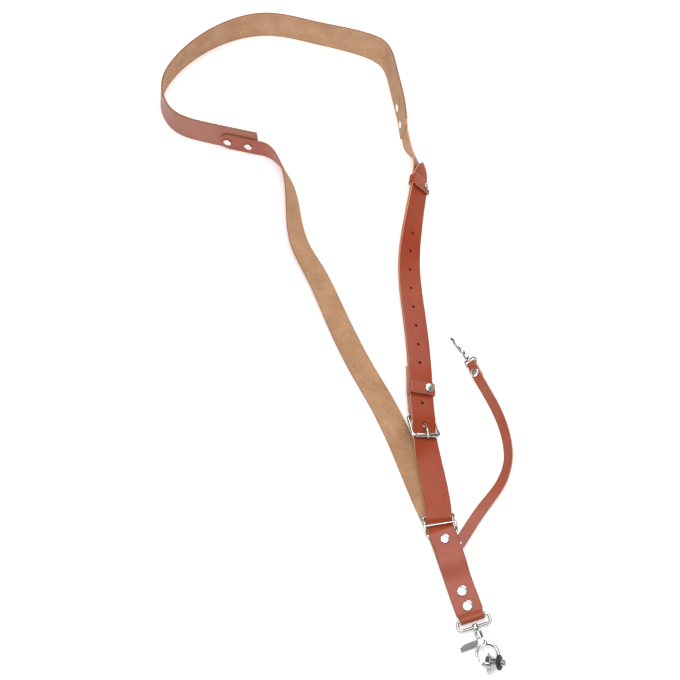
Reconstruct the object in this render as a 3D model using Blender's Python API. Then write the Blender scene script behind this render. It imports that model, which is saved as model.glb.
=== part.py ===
"""Leather sling strap for one camera, laid out on a flat surface as it falls by itself.

The neck band and the straps are ribbons that follow routes. A route is a short table of
places with the lean of the strap there, and the plies of a joint lie above and below it.
Units are metres, +Z is up, and the surface that the strap lies on is Z = 0.
"""
import math

import bmesh
import bpy
import mathutils
import numpy as np

for leftover in list(bpy.data.objects):
    bpy.data.objects.remove(leftover, do_unlink=True)

# How far the laid-out strap spreads from left to right, and from the back of the loop to the hook
spread = 0.380
reach = 0.770

# Widths of the straps
band_width = 0.038
strap_width = 0.0255
tongue_width = 0.025
tether_width = 0.011
keeper_width = 0.012

# Walls of the leather
band_wall = 0.0022
strap_wall = 0.0020
tether_wall = 0.0017
tether_narrowing = 0.0010
keeper_wall = 0.0015

# Spaces between the plies of a joint, and round the metal
ply_gap = 0.0003
metal_gap = 0.0003

# Laps where the straps are riveted to the neck band, and the spacing of their rivets
left_lap = 0.045
right_lap = 0.048
lap_rivet_inset = 0.011
lap_rivet_pitch = 0.0245

# Row of holes in the tongue strap
hole_radius = 0.00135
hole_pitch = 0.0226
hole_count = 11
tongue_point = 0.020
tip_spring = 0.0035

# Rivets: cap, back and post
large_cap = 0.0050
small_cap = 0.0045
cap_rise = 0.0016
back_rise = 0.0006
post_radius = 0.0014
rivet_sides = 12

# Roller buckle
buckle_wire = 0.0015
buckle_length = 0.0215
buckle_side_gap = 0.0006
fold_narrowing = 0.0012
roller_wall = 0.0006
prong_radius = 0.0011

# Slide with three bars
slide_wire = 0.0012
slide_length = 0.0190
slide_side_gap = 0.0012

# Swivel snap and its eye
eye_wire = 0.0014
eye_side_gap = 0.0014
eye_length = 0.0116
hook_radius = 0.0098
hook_bar = 0.0036
lever_height = 0.0042

# Screw connector in the hook
washer_radius = 0.0067
washer_wall = 0.0032
stud_radius = 0.0030
head_radius = 0.0056
head_length = 0.0052
bail_wire = 0.0010

# Small clasp on the tether
clasp_length = 0.0325
clasp_height = 0.0068
clasp_wire = 0.0009

# The tab: the end of the left strap, folded round the eye of the snap and riveted to itself
tab_length = 0.0845
tab_rivet_inset = 0.0086
tab_rivet_low = 0.0112
tab_rivet_pitch = 0.0145
tongue_inset = 0.0135

# Stations along the ribbons
station = 0.009


# Shapes of curves

def cubic(knots, values, places):
    """A natural cubic spline through the values."""
    count = len(knots)
    step = np.diff(knots)
    slope = np.diff(values) / step
    matrix = np.eye(count)
    right = np.zeros(count)
    for k in range(1, count - 1):
        matrix[k, k - 1] = step[k - 1]
        matrix[k, k] = 2.0 * (step[k - 1] + step[k])
        matrix[k, k + 1] = step[k]
        right[k] = 6.0 * (slope[k] - slope[k - 1])
    bend = np.linalg.solve(matrix, right)
    k = np.clip(np.searchsorted(knots, places) - 1, 0, count - 2)
    t = places - knots[k]
    rise = slope[k] - step[k] * (2.0 * bend[k] + bend[k + 1]) / 6.0
    return values[k] + t * rise + t * t * bend[k] / 2.0 + t ** 3 * (bend[k + 1] - bend[k]) / (6.0 * step[k])


def glide(knots, values, places):
    """A smooth curve through the values that never overshoots them."""
    step = np.diff(knots)
    slope = np.diff(values) / step
    lean = np.zeros(len(knots))
    for k in range(1, len(knots) - 1):
        if slope[k - 1] * slope[k] > 0.0:
            lean[k] = 2.0 * slope[k - 1] * slope[k] / (slope[k - 1] + slope[k])
    k = np.clip(np.searchsorted(knots, places) - 1, 0, len(knots) - 2)
    t = np.clip((places - knots[k]) / step[k], 0.0, 1.0)
    low = values[k] * (1.0 + 2.0 * t) * (1.0 - t) ** 2 + values[k + 1] * t * t * (3.0 - 2.0 * t)
    return low + step[k] * (lean[k] * t * (1.0 - t) ** 2 - lean[k + 1] * t * t * (1.0 - t))


def unit(vectors):
    """The vectors at length one."""
    return vectors / np.linalg.norm(vectors, axis=-1, keepdims=True)


class Route:
    """A strap's centre line, with the directions of its length, its width and its face.

    Each row is (x, y, lean, lift): a place in metres, how far the strap leans over from flat
    in degrees, and how high its lower edge is held in walls of the strap.
    """

    def __init__(self, rows, width, wall):
        table = np.array(rows, dtype=float)
        knots = np.concatenate([[0.0], np.cumsum(np.hypot(*np.diff(table[:, :2], axis=0).T))])
        fine = np.linspace(0.0, knots[-1], 1200)
        lean = np.radians(glide(knots, table[:, 2], fine))
        lift = glide(knots, table[:, 3], fine) * wall
        height = width / 2.0 * np.abs(np.sin(lean)) + wall / 2.0 * np.abs(np.cos(lean)) + lift
        self.points = np.stack([cubic(knots, table[:, 0], fine), cubic(knots, table[:, 1], fine), height], 1)
        self.along = unit(np.gradient(self.points, axis=0))
        side = unit(np.cross(self.along, (0.0, 0.0, 1.0)))
        top = np.cross(side, self.along)
        self.across = side * np.cos(lean)[:, None] + top * np.sin(lean)[:, None]
        self.face = np.cross(self.across, self.along)
        lengths = np.linalg.norm(np.diff(self.points, axis=0), axis=1)
        self.reach = np.concatenate([[0.0], np.cumsum(lengths)])
        self.length = self.reach[-1]
        self.marks = np.interp(knots, fine, self.reach)

    def frame(self, s):
        """Place, length direction, width direction and face direction at a distance s."""
        held = min(max(s, 0.0), self.length)
        look = [np.array([np.interp(held, self.reach, column[:, k]) for k in range(3)])
                for column in (self.points, self.along, self.across, self.face)]
        place, along, across, face = look
        along = unit(along)
        across = unit(across - along * np.dot(across, along))
        face = np.cross(across, along)
        return place + along * (s - held), along, across, face

    def spot(self, s, a, n):
        """A point given by its distance, its place across and its height off the route."""
        place, along, across, face = self.frame(s)
        return place + across * a + face * n


# Meshes

def finish(name, mesh_data, material, smooth=40.0):
    """Turn a bmesh into a named object with its faces outwards."""
    bmesh.ops.recalc_face_normals(mesh_data, faces=mesh_data.faces)
    mesh = bpy.data.meshes.new(name)
    mesh_data.to_mesh(mesh)
    mesh_data.free()
    mesh.shade_smooth()
    mesh.set_sharp_from_angle(angle=math.radians(smooth))
    mesh.materials.append(material)
    thing = bpy.data.objects.new(name, mesh)
    bpy.context.scene.collection.objects.link(thing)
    return thing


def loft(name, rings, material, closed=False, smooth=40.0, ways=None):
    """Join rings of points into one closed body, with end caps unless it closes on itself.

    Where ways are given, one sign for each gap between rings, the faces are split into
    triangles along the diagonals that plies on top of each other share.
    """
    shape = bmesh.new()
    rows = [[shape.verts.new(point) for point in ring] for ring in rings]
    pairs = list(zip(rows, rows[1:]))
    if closed:
        pairs.append((rows[-1], rows[0]))
    for i, (first, second) in enumerate(pairs):
        for k in range(len(first)):
            corners = (first[k - 1], first[k], second[k], second[k - 1])
            if ways is None:
                shape.faces.new(corners)
                continue
            turn = 0 if (k == 1) == (ways[i] > 0.0) else 1
            shape.faces.new((corners[turn], corners[turn + 1], corners[turn + 2]))
            shape.faces.new((corners[turn], corners[turn + 2], corners[(turn + 3) % 4]))
    if not closed:
        shape.faces.new(rows[0])
        shape.faces.new(rows[-1][::-1])
    return finish(name, shape, material, smooth)


def ribbon(name, route, path, wall, material):
    """A strap with a rectangular section. Each path row is (distance, height, half width)."""
    table = np.array(path, dtype=float)
    heading = unit(np.gradient(table[:, :2], axis=0))
    rings = []
    for (s, n, half), (run, rise) in zip(table, heading):
        place, along, across, face = route.frame(s)
        centre = place + face * n
        up = (face * run - along * rise) * wall / 2.0
        side = across * half
        rings.append([centre - side - up, centre + side - up, centre + side + up, centre - side + up])
    return loft(name, rings, material, ways=np.diff(table[:, 0]))


def turned(name, profile, origin, axis, material, sides=rivet_sides):
    """A round piece from (radius, height) rows along an axis, ending in a point at each end."""
    axis = unit(np.array(axis, dtype=float))
    guide = (1.0, 0.0, 0.0) if abs(axis[0]) < 0.8 else (0.0, 1.0, 0.0)
    first = unit(np.cross(axis, guide))
    second = np.cross(axis, first)
    shape = bmesh.new()
    rows = []
    for radius, height in profile:
        centre = np.array(origin) + axis * height
        if radius == 0.0:
            rows.append([shape.verts.new(centre)])
            continue
        turns = [2.0 * math.pi * k / sides for k in range(sides)]
        rows.append([shape.verts.new(centre + radius * (first * math.cos(t) + second * math.sin(t)))
                     for t in turns])
    for low, high in zip(rows, rows[1:]):
        for k in range(sides):
            corners = [low[(k - 1) % len(low)], low[k % len(low)], high[k % len(high)], high[(k - 1) % len(high)]]
            shape.faces.new(list(dict.fromkeys(corners)))
    return finish(name, shape, material)


def hoop(name, profile, origin, axis, material, sides=rivet_sides):
    """A round piece with a hole, from a closed loop of (radius, height) rows."""
    axis = unit(np.array(axis, dtype=float))
    guide = (1.0, 0.0, 0.0) if abs(axis[0]) < 0.8 else (0.0, 1.0, 0.0)
    first = unit(np.cross(axis, guide))
    second = np.cross(axis, first)
    rings = []
    for k in range(sides):
        turn = 2.0 * math.pi * k / sides
        out = first * math.cos(turn) + second * math.sin(turn)
        rings.append([np.array(origin) + out * radius + axis * height for radius, height in profile])
    return loft(name, rings, material, closed=True)


def wire_rings(points, radius, normal, closed, sides, squash=1.0):
    """Rings of a round wire along points that lie in a plane with the given normal."""
    points = np.array(points, dtype=float)
    if closed:
        heading = unit(np.roll(points, -1, axis=0) - np.roll(points, 1, axis=0))
    else:
        heading = unit(np.gradient(points, axis=0))
    normal = unit(np.array(normal, dtype=float))
    radii = np.broadcast_to(radius, len(points))
    rings = []
    for point, ahead, size in zip(points, heading, radii):
        out = unit(np.cross(ahead, normal))
        turns = [2.0 * math.pi * (k + 0.5) / sides for k in range(sides)]
        rings.append([point + size * (out * math.cos(t) + normal * squash * math.sin(t)) for t in turns])
    return rings


def wire(name, points, radius, normal, material, closed=False, sides=10, squash=1.0):
    """A round wire along points that lie near a plane with the given normal."""
    return loft(name, wire_rings(points, radius, normal, closed, sides, squash), material, closed)


def join(first, second):
    """Weld a second piece into the first with a Boolean union and remove the second."""
    weld = first.modifiers.new("weld", "BOOLEAN")
    weld.operation = "UNION"
    weld.solver = "EXACT"
    weld.object = second
    apply_modifiers(first)
    bpy.data.objects.remove(second)
    return first


def apply_modifiers(thing):
    """Keep the evaluated mesh of an object and drop its modifiers."""
    graph = bpy.context.evaluated_depsgraph_get()
    mesh = bpy.data.meshes.new_from_object(thing.evaluated_get(graph))
    thing.modifiers.clear()
    thing.data = mesh
    mesh.shade_smooth()
    mesh.set_sharp_from_angle(angle=math.radians(40.0))


def stand_on(thing, point):
    """Put an object's origin on a point of its joint's axis, with its shape left where it is."""
    thing.data.transform(mathutils.Matrix.Translation(-mathutils.Vector(point)))
    thing.location = point
    return thing


def cut(thing, tool):
    """Cut a piece with a tool, which is then removed."""
    saw = thing.modifiers.new("cut", "BOOLEAN")
    saw.operation = "DIFFERENCE"
    saw.solver = "EXACT"
    saw.use_hole_tolerant = True
    saw.object = tool
    apply_modifiers(thing)
    bpy.data.objects.remove(tool)


def punch(thing, places, radius, depth, material, sides=8):
    """Round holes through a strap at places given as (centre, direction)."""
    for centre, direction in places:
        profile = [(0.0, -depth), (radius, -depth), (radius, depth), (0.0, depth)]
        cut(thing, turned("punch", profile, centre, direction, material, sides))


def rivet(name, route, s, a, low, high, cap, material, rise=cap_rise, back=back_rise, side=1.0):
    """A rivet through the plies between two heights off the route.

    Its cap is on the high side, or on the low side where side is -1.
    """
    place, along, across, face = route.frame(s)
    origin = place + across * a
    top = (high if side > 0.0 else -low) + ply_gap
    base = (low if side > 0.0 else -high) - ply_gap
    profile = [(0.0, base - back), (0.76 * cap, base - 0.75 * back), (0.97 * cap, base), (post_radius, base),
               (post_radius, top), (cap, top), (0.93 * cap, top + 0.45 * rise), (0.60 * cap, top + 0.88 * rise),
               (0.0, top + rise)]
    return turned(name, profile, origin, face * side, material)


def post_place(route, s, a):
    """Where a rivet's post goes through a strap, and its direction."""
    place, along, across, face = route.frame(s)
    return place + across * a, face


def fillet(corners, radius, steps=5):
    """A closed outline with its corners rounded, from (x, y) corners or (x, y, radius) ones."""
    points = []
    count = len(corners)
    for k in range(count):
        here = np.array(corners[k][:2], dtype=float)
        back = np.array(corners[k - 1][:2], dtype=float) - here
        ahead = np.array(corners[(k + 1) % count][:2], dtype=float) - here
        size = corners[k][2] if len(corners[k]) > 2 else radius
        back_way = unit(back)
        ahead_way = unit(ahead)
        half = math.acos(max(-1.0, min(1.0, float(np.dot(back_way, ahead_way))))) / 2.0
        trim = min(size / math.tan(half), 0.49 * np.linalg.norm(back), 0.49 * np.linalg.norm(ahead))
        bend = trim * math.tan(half)
        centre = here + unit(back_way + ahead_way) * bend / math.sin(half)
        start = here + back_way * trim - centre
        end = here + ahead_way * trim - centre
        turn = math.atan2(start[0] * end[1] - start[1] * end[0], float(np.dot(start, end)))
        for i in range(steps + 1):
            angle = turn * i / steps
            points.append((centre[0] + start[0] * math.cos(angle) - start[1] * math.sin(angle),
                           centre[1] + start[0] * math.sin(angle) + start[1] * math.cos(angle)))
    return points


# Ends of straps

def round_end(radius, steps=6):
    """(distance from the end, half width) rows of a half-round end, from the end inwards."""
    turns = [math.radians(18.0 + 72.0 * k / steps) for k in range(steps + 1)]
    return [(radius * (1.0 - math.cos(turn)), radius * math.sin(turn)) for turn in turns]


def arch_end(half, length, steps=7):
    """(distance from the end, half width) rows of a pointed arch."""
    radius = (length ** 2 + half ** 2) / (2.0 * half)
    rows = []
    for k in range(1, steps + 1):
        distance = length * k / steps
        rows.append((distance, half - radius + math.sqrt(radius ** 2 - (length - distance) ** 2)))
    rows[0] = (rows[0][0] * 0.35, rows[0][1] * 0.36)
    return rows


def blunt_end(half, length, share):
    """(distance from the end, half width) rows of an end with its corners trimmed off."""
    return [(0.0, half * share), (length, half)]


def run(start, end, step=station):
    """Distances from start to end in even steps, with both ends."""
    count = max(1, int(math.ceil(abs(end - start) / step)))
    return [start + (end - start) * k / count for k in range(count + 1)]


def grid(start, end, close_until=0.0):
    """Distances from start to end at whole stations, so that the plies of a joint share them.

    Up to one distance the stations are three times as close, for a strong twist.
    """
    close = station / 3.0
    inside = [k * close for k in range(int(start / close), int(end / close) + 2)]
    inside = [s for s in inside if s < close_until or round(s / close) % 3 == 0]
    margin = 0.3 * close
    return [start] + [s for s in inside if start + margin < s < end - margin] + [end]


# Materials

def paint(name, color, roughness, metallic=0.0):
    """A Principled material."""
    material = bpy.data.materials.new(name)
    material.use_nodes = True
    shader = material.node_tree.nodes["Principled BSDF"]
    shader.inputs["Base Color"].default_value = (*color, 1.0)
    shader.inputs["Roughness"].default_value = roughness
    shader.inputs["Metallic"].default_value = metallic
    return material


def leather_paint(name):
    """Smooth orange-brown leather."""
    return paint(name, (0.42, 0.115, 0.045), 0.38)


def nickel_paint(name):
    """Polished nickel."""
    return paint(name, (0.80, 0.79, 0.77), 0.18, 1.0)


def rubber_paint(name):
    """Black rubber."""
    return paint(name, (0.02, 0.02, 0.02), 0.6)


# Routes. Each table row is a place: across as a share of the spread, along as a share of the
# reach, the lean in degrees, and the lift of the lower edge in walls of the strap.

middle_along = -0.0036


def laid(table):
    """Rows of shares as rows of metres from the middle of the laid-out strap."""
    return [(across * spread, (along - middle_along) * reach, lean, lift) for across, along, lean, lift in table]


band_places = [
    (-0.189, 0.255, 91, 0.0),
    (-0.345, 0.275, 91, 0.0),
    (-0.444, 0.297, 88, 0.0),
    (-0.484, 0.333, 82, 0.0),
    (-0.486, 0.361, 80, 0.0),
    (-0.460, 0.394, 80, 0.0),
    (-0.396, 0.434, 82, 0.0),
    (-0.291, 0.470, 86, 0.0),
    (-0.176, 0.483, 90, 0.0),
    (-0.024, 0.466, 90, 0.0),
    (0.136, 0.4405, 95, 0.0),
    (0.180, 0.427, 99, 0.0),
    (0.216, 0.375, 99, 0.0),
    (0.237, 0.313, 98, 0.0),
    (0.2425, 0.281, 97, 0.0),
]

left_places = [
    (-0.118, 0.221, 77, 0.0),
    (-0.090, 0.178, 62, 0.0),
    (-0.080, 0.137, 51, 0.0),
    (-0.060, 0.090, 33, 0.0),
    (-0.020, 0.050, 21, 0.0),
    (0.028, -0.005, 15, 0.0),
    (0.110, -0.097, 5, 0.0),
    (0.165, -0.149, 1, 0.0),
    (0.2175, -0.210, 0, 0.0),
    (0.2730, -0.284, 0, 0.2),
]

# How high the lower edge is held over what lies under the strap, in walls
tab_lift = (2.0 * ply_gap + back_rise) / strap_wall
slide_lift = tab_lift + 1.0 + 2.0 * (ply_gap + slide_wire) / strap_wall
keeper_lift = 1.42 * (ply_gap + keeper_wall) / strap_wall
return_lift = (2.0 * ply_gap + keeper_wall + strap_wall) / strap_wall
heel_lift = 2.0 * (strap_wall / 2.0 + metal_gap + buckle_wire) / strap_wall

# The tab lies straight, from above its front edge to the bar of the snap's eye
tab_places = [
    (0.3055, -0.324, 0, tab_lift),
    (0.3385, -0.3766, 0, tab_lift),
    (0.3712, -0.4286, 0, tab_lift),
]

right_places = [
    (0.2790, 0.229, 66, 0.5),
    (0.2790, 0.184, 50, keeper_lift),
    (0.2655, 0.143, 44, 0.3 * keeper_lift),
    (0.2540, 0.106, 36, 0.0),
    (0.2465, 0.070, 28, 0.0),
    (0.2460, 0.036, 22, 0.0),
    (0.2540, -0.016, 19, 0.0),
    (0.2615, -0.066, 19, 0.3 * return_lift),
    (0.2635, -0.105, 20, return_lift),
    (0.2645, -0.140, 20, return_lift),
]
heel_place = (0.2670, -0.172, 20, heel_lift)
roller_place = (0.2725, -0.200, 20, 0.9 * heel_lift)
slide_places = [
    (0.2820, -0.232, 3, 0.7 * slide_lift),
    (0.2945, -0.268, 0, 0.75 * slide_lift),
    (0.3005, -0.297, 0, slide_lift),
    (0.303, -0.314, 0, slide_lift),
    (0.314, -0.3335, 0, slide_lift),
    (0.3225, -0.347, 0, slide_lift),
]

tether_places = [
    (0.4135, -0.292, 12, 0.6),
    (0.4640, -0.259, 30, 0.0),
    (0.4865, -0.229, 46, 0.0),
    (0.4875, -0.205, 48, 0.0),
    (0.4775, -0.178, 47, 0.0),
    (0.4545, -0.147, 45, 0.3),
    (0.4210, -0.114, 44, 1.9),
    (0.4045, -0.0945, 44, 1.9),
]


def lap_places(route, distances, off, lean, lift):
    """Places against the face of the neck band for a strap that stands on the surface too."""
    drop = -(band_width - strap_width) / 2.0
    return [(*route.spot(s, drop, off)[:2], lean, lift) for s in distances]


lap_off = band_wall / 2.0 + ply_gap + strap_wall / 2.0
band = Route(laid(band_places), band_width, band_wall)
left_lap_marks = [left_lap * share for share in (1.0, 0.67, 0.33, 0.0, -0.14)]
right_lap_marks = [band.length - right_lap * share for share in (1.0, 0.67, 0.33, 0.0, -0.2)]
left_rows = lap_places(band, left_lap_marks, lap_off, 89, 0.5) + laid(left_places + tab_places)
left = Route(left_rows, strap_width, strap_wall)
right_rows = lap_places(band, right_lap_marks, lap_off, 98, 0.0)
right_rows += laid(right_places + [heel_place, roller_place] + slide_places)
right_route = Route(right_rows, strap_width, strap_wall)

left_lap_end = left.marks[3]
right_lap_end = right_route.marks[3]
heel_mark = right_route.marks[len(right_lap_marks) + len(right_places)]
roller_mark = heel_mark + buckle_length
slide_mark = right_route.marks[-3]

# Heights of the plies off the routes
on_top = strap_wall + ply_gap
eye_height = strap_wall / 2.0 + metal_gap + eye_wire
fold_off = 2.0 * eye_height
tab_closed = strap_wall + ply_gap
tab_open = 2.0 * strap_wall + 2.0 * slide_wire + 4.0 * ply_gap
heel_height = -(strap_wall / 2.0 + metal_gap + buckle_wire)
heel_fold = 2.0 * heel_height
return_height = -(strap_wall + 2.0 * ply_gap + keeper_wall)

# Distances along the left strap, to the ends of the tab
eye_mark = left.length
tab_edge = eye_mark - tab_length


def arc(centre_s, centre_n, radius, start, end, steps):
    """Rows of an arc in the plane of a strap's length and face."""
    rows = []
    for k in range(steps + 1):
        turn = math.radians(start + (end - start) * k / steps)
        rows.append((centre_s + radius * math.cos(turn), centre_n + radius * math.sin(turn)))
    return rows


def even(rows, half):
    """Rows of (distance, height) with one half width."""
    return [(s, n, half) for s, n in rows]


def heights(table, distances):
    """Smooth heights at distances, from rows of (distance, height)."""
    knots = np.array([row[0] for row in table])
    values = np.array([row[1] for row in table])
    return [(s, float(glide(knots, values, np.array([s]))[0])) for s in distances]


def neck_band():
    """The wide band that stands on its edge round the neck."""
    path = even([(s, 0.0) for s in run(0.0, band.length, 0.007)], band_width / 2.0)
    thing = ribbon("neck_band", band, path, band_wall, leather_paint("band_leather"))
    places = []
    for k in range(2):
        places.append(post_place(left, left_rivet(k), 0.0))
        places.append(post_place(right_route, right_rivet(k), 0.0))
    punch(thing, places, post_radius + metal_gap, 0.006, thing.active_material)
    return thing


def left_rivet(k):
    """Distance along the left strap of its rivets on the neck band."""
    return left_lap_end - lap_rivet_inset - lap_rivet_pitch * k


def right_rivet(k):
    """Distance along the right strap of its rivets on the neck band."""
    return right_lap_end - lap_rivet_inset - lap_rivet_pitch * k


def tab_front_heights():
    """Heights of the tab's front ply, from the eye back to its cut edge."""
    low = eye_mark - tab_rivet_low
    high = low - tab_rivet_pitch
    table = [(tab_edge - 0.001, tab_open), (tab_edge + 0.026, tab_open), (high - 0.007, tab_closed),
             (low + large_cap + 0.0004, tab_closed), (eye_mark, fold_off)]
    fold = [eye_mark - shift for shift in (0.001, 0.002, 0.0038)]
    return heights(table, fold + run(low + large_cap + 0.0004, tab_edge, 0.004))


def tab_rivet_marks():
    """Distances along the left strap of the tab's three rivets."""
    low = eye_mark - tab_rivet_low
    return [tab_edge + tab_rivet_inset, low - tab_rivet_pitch, low]


tether_rivet_mark = tab_edge + 0.017
tether_rivet_across = -(strap_width / 2.0 - 0.0026)


def left_strap():
    """The strap from the neck band to the snap, folded round the eye and back as the tab."""
    half = strap_width / 2.0
    path = [(s, 0.0, size) for s, size in round_end(half)]
    narrow = half - fold_narrowing
    path += even([(s, 0.0) for s in run(half + 0.002, eye_mark - 0.0058)], half)
    path += even([(eye_mark - 0.002, 0.0), (eye_mark, 0.0)], narrow)
    path += even(arc(eye_mark, eye_height, eye_height, -90.0, 90.0, 10)[1:], narrow)
    front = tab_front_heights()
    path += even(front[:2], narrow) + even(front[2:], half)
    thing = ribbon("left_strap", left, path, strap_wall, leather_paint("left_leather"))
    places = [post_place(left, left_rivet(k), 0.0) for k in range(2)]
    places += [post_place(left, s, 0.0) for s in tab_rivet_marks()]
    punch(thing, places, post_radius + metal_gap, 0.012, thing.active_material)
    under = [post_place(left, tether_rivet_mark, tether_rivet_across)]
    punch(thing, under, post_radius + metal_gap, 0.0022, thing.active_material)
    return thing


def buckle_strap():
    """The strap from the neck band to the buckle, folded round the heel bar and back under itself."""
    half = tongue_width / 2.0
    path = [(s, 0.0, size) for s, size in round_end(half)]
    path += even([(s, 0.0) for s in grid(half + 0.002, heel_mark - 0.010, twist_end)], half)
    narrow = half - fold_narrowing
    path += [(heel_mark - 0.004, 0.0, narrow), (heel_mark, 0.0, narrow)]
    path += even(arc(heel_mark, heel_height, heel_height, -90.0, -270.0, 10)[1:], narrow)
    table = [(return_end - 0.001, return_height), (heel_mark - 0.010, return_height), (heel_mark, heel_fold)]
    path += even(heights(table, [heel_mark - 0.004]), narrow)
    path += even(heights(table, grid(return_end, heel_mark - 0.010)[::-1]), half)
    thing = ribbon("buckle_strap", right_route, path, strap_wall, leather_paint("buckle_leather"))
    places = [post_place(right_route, right_rivet(k), 0.0) for k in range(2)]
    places.append(post_place(right_route, return_rivet_mark, 0.0))
    punch(thing, places, post_radius + metal_gap, 0.008, thing.active_material)
    cut(thing, slot_tool(right_route, heel_mark - 0.0045, heel_mark + 0.009, prong_radius + 0.0006, 0.012))
    return thing


def slot_tool(route, start, end, half, depth, centre_n=0.0):
    """A straight slot cutter through a strap, with round ends."""
    middle = (start + end) / 2.0
    place, along, across, face = route.frame(middle)
    reach_half = (end - start) / 2.0 - half
    outline = []
    for k in range(16):
        turn = 2.0 * math.pi * (k + 0.5) / 16
        shift = reach_half if math.cos(turn) > 0.0 else -reach_half
        outline.append((shift + half * math.cos(turn), half * math.sin(turn)))
    rings = [[place + along * x + across * y + face * (centre_n + z) for x, y in outline] for z in (-depth, depth)]
    return loft("slot", rings, leather_paint("cut"))


keeper_marks = [right_route.marks[len(right_lap_marks) + 1] - 0.002, heel_mark - 0.0290]
return_end = heel_mark - 0.056
return_rivet_mark = heel_mark - 0.046
tongue_start = keeper_marks[0] - 0.0285
twist_end = keeper_marks[0] + keeper_width
prong_mark = heel_mark + 0.0098


def tongue_heights(distances):
    """Heights of the tongue strap: over the buckle strap, under the roller and through the slide."""
    pitch = slide_length / 2.0
    dip = 2.0 * slide_wire
    table = [
        (tongue_start - 0.001, on_top + tip_spring),
        (tongue_start + tongue_point, on_top),
        (keeper_marks[0] + 0.02, on_top),
        (return_rivet_mark - 0.030, on_top + 0.2 * strap_wall),
        (return_rivet_mark - 0.006, on_top + ply_gap + back_rise),
        (heel_mark + 0.001, on_top + ply_gap + back_rise),
        (roller_mark - 0.002, 0.0),
        (roller_mark + 0.006, 0.0),
        (slide_mark - 2.0 * pitch, 0.0),
        (slide_mark - pitch + dip, 0.0),
        (slide_mark - 0.0012, -dip),
        (slide_mark + 0.0012, -dip),
        (slide_mark + pitch - dip, 0.0),
        (tongue_end + 0.001, 0.0),
    ]
    return heights(table, distances)


# The tongue strap ends inside the tab, just past the tab's first rivet
tail_place, tail_along = right_route.frame(right_route.length)[:2]
tongue_tail = float(np.dot(left.spot(tab_edge + tongue_inset, 0.0, 0.0) - tail_place, tail_along))
tongue_end = right_route.length + tongue_tail


def tongue_strap():
    """The strap with the holes, from its point through both keepers and the buckle to the tab."""
    half = tongue_width / 2.0
    point = [(tongue_start + d, size) for d, size in arch_end(half, tongue_point)]
    body = grid(tongue_start + tongue_point + 0.002, slide_mark - slide_length, twist_end)
    low = run(slide_mark - slide_length + 0.002, slide_mark + slide_length / 2.0, 0.002)
    tail = [(tongue_end - d, size) for d, size in reversed(blunt_end(half, 0.006, 0.5))]
    sizes = point + [(s, half) for s in body + low] + tail
    levels = tongue_heights([s for s, size in sizes])
    path = [(s, n, size) for (s, n), (mark, size) in zip(levels, sizes)]
    thing = ribbon("tongue_strap", right_route, path, strap_wall, leather_paint("tongue_leather"))
    holes = [post_place(right_route, s, 0.0) for s in hole_marks()]
    punch(thing, holes, hole_radius, 0.007, thing.active_material)
    cut(thing, slot_tool(right_route, prong_mark - 0.0028, prong_mark + 0.0026, prong_radius + 0.0005, 0.004, 0.001))
    punch(thing, [post_place(left, tab_rivet_marks()[0], 0.0)], post_radius + metal_gap, 0.009, thing.active_material)
    return thing


def hole_marks():
    """Distances of the free holes, up from the one that holds the prong."""
    return [prong_mark - hole_pitch * k for k in range(1, hole_count)]


def keeper(name, mark, under, over):
    """A strip round the plies between two heights, with its ends lapped on the front and riveted."""
    half = tongue_width / 2.0 + ply_gap + keeper_wall / 2.0
    low = under - ply_gap - keeper_wall / 2.0
    high = over + 2.0 * ply_gap + back_rise + keeper_wall / 2.0
    lap = keeper_wall + ply_gap
    corner = keeper_wall * 0.9
    outline = [(-0.0105, high)]
    outline += bend((0.0, high), (half, high), (half, low), corner)
    outline += bend((half, high), (half, low), (-half, low), corner)
    outline += bend((half, low), (-half, low), (-half, high + lap), corner)
    outline += bend((-half, low), (-half, high + lap), (0.0, high + lap), corner)
    outline.append((0.0110, high + lap))
    outline = spaced(np.array(outline) * (-1.0, 1.0), 2.5 * keeper_wall)
    heading = unit(np.gradient(outline, axis=0))
    marks = [mark - keeper_width / 2.0, mark, mark + keeper_width / 2.0]
    rings = []
    for (x, y), (run_x, rise) in zip(outline, heading):
        edge_x = -rise * keeper_wall / 2.0
        edge_y = run_x * keeper_wall / 2.0
        front = [right_route.spot(s, x + edge_x, y + edge_y) for s in marks]
        back = [right_route.spot(s, x - edge_x, y - edge_y) for s in marks]
        rings.append(front + back[::-1])
    thing = loft(name, rings, leather_paint(name + "_leather"))
    punch(thing, [keeper_post(mark, high + lap / 2.0)], post_radius + metal_gap, keeper_wall * 1.3, thing.active_material)
    return thing, high


def spaced(points, step):
    """Points of an open outline with more between those that are further apart than the step."""
    rows = [points[0]]
    for first, second in zip(points, points[1:]):
        count = max(1, int(round(np.linalg.norm(second - first) / step)))
        rows += [first + (second - first) * k / count for k in range(1, count + 1)]
    return np.array(rows)


def bend(before, corner, after, radius, steps=4):
    """Points of a rounded corner of an open outline."""
    here = np.array(corner)
    back = here + unit(np.array(before) - here) * radius
    ahead = here + unit(np.array(after) - here) * radius
    return [tuple((1 - t) ** 2 * back + 2 * t * (1 - t) * here + t * t * ahead) for t in np.linspace(0, 1, steps)]


def keeper_post(mark, height):
    """Where a keeper's rivet goes through its lapped ends."""
    place, along, across, face = right_route.frame(mark)
    return place + across * keeper_rivet_across + face * height, face


keeper_rivet_across = -0.0065


class Seat:
    """A local place for a fitting: an origin with its own x, y and z directions."""

    def __init__(self, origin, ahead, up):
        self.origin = np.array(origin, dtype=float)
        self.x = unit(np.array(ahead, dtype=float))
        up = np.array(up, dtype=float)
        self.z = unit(up - self.x * np.dot(up, self.x))
        self.y = np.cross(self.z, self.x)

    def __call__(self, x, y, z):
        return self.origin + self.x * x + self.y * y + self.z * z

    def turn(self, x, y, z):
        """A direction in this place's own terms, as a world direction."""
        return self.x * x + self.y * y + self.z * z


# Buckle

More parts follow.
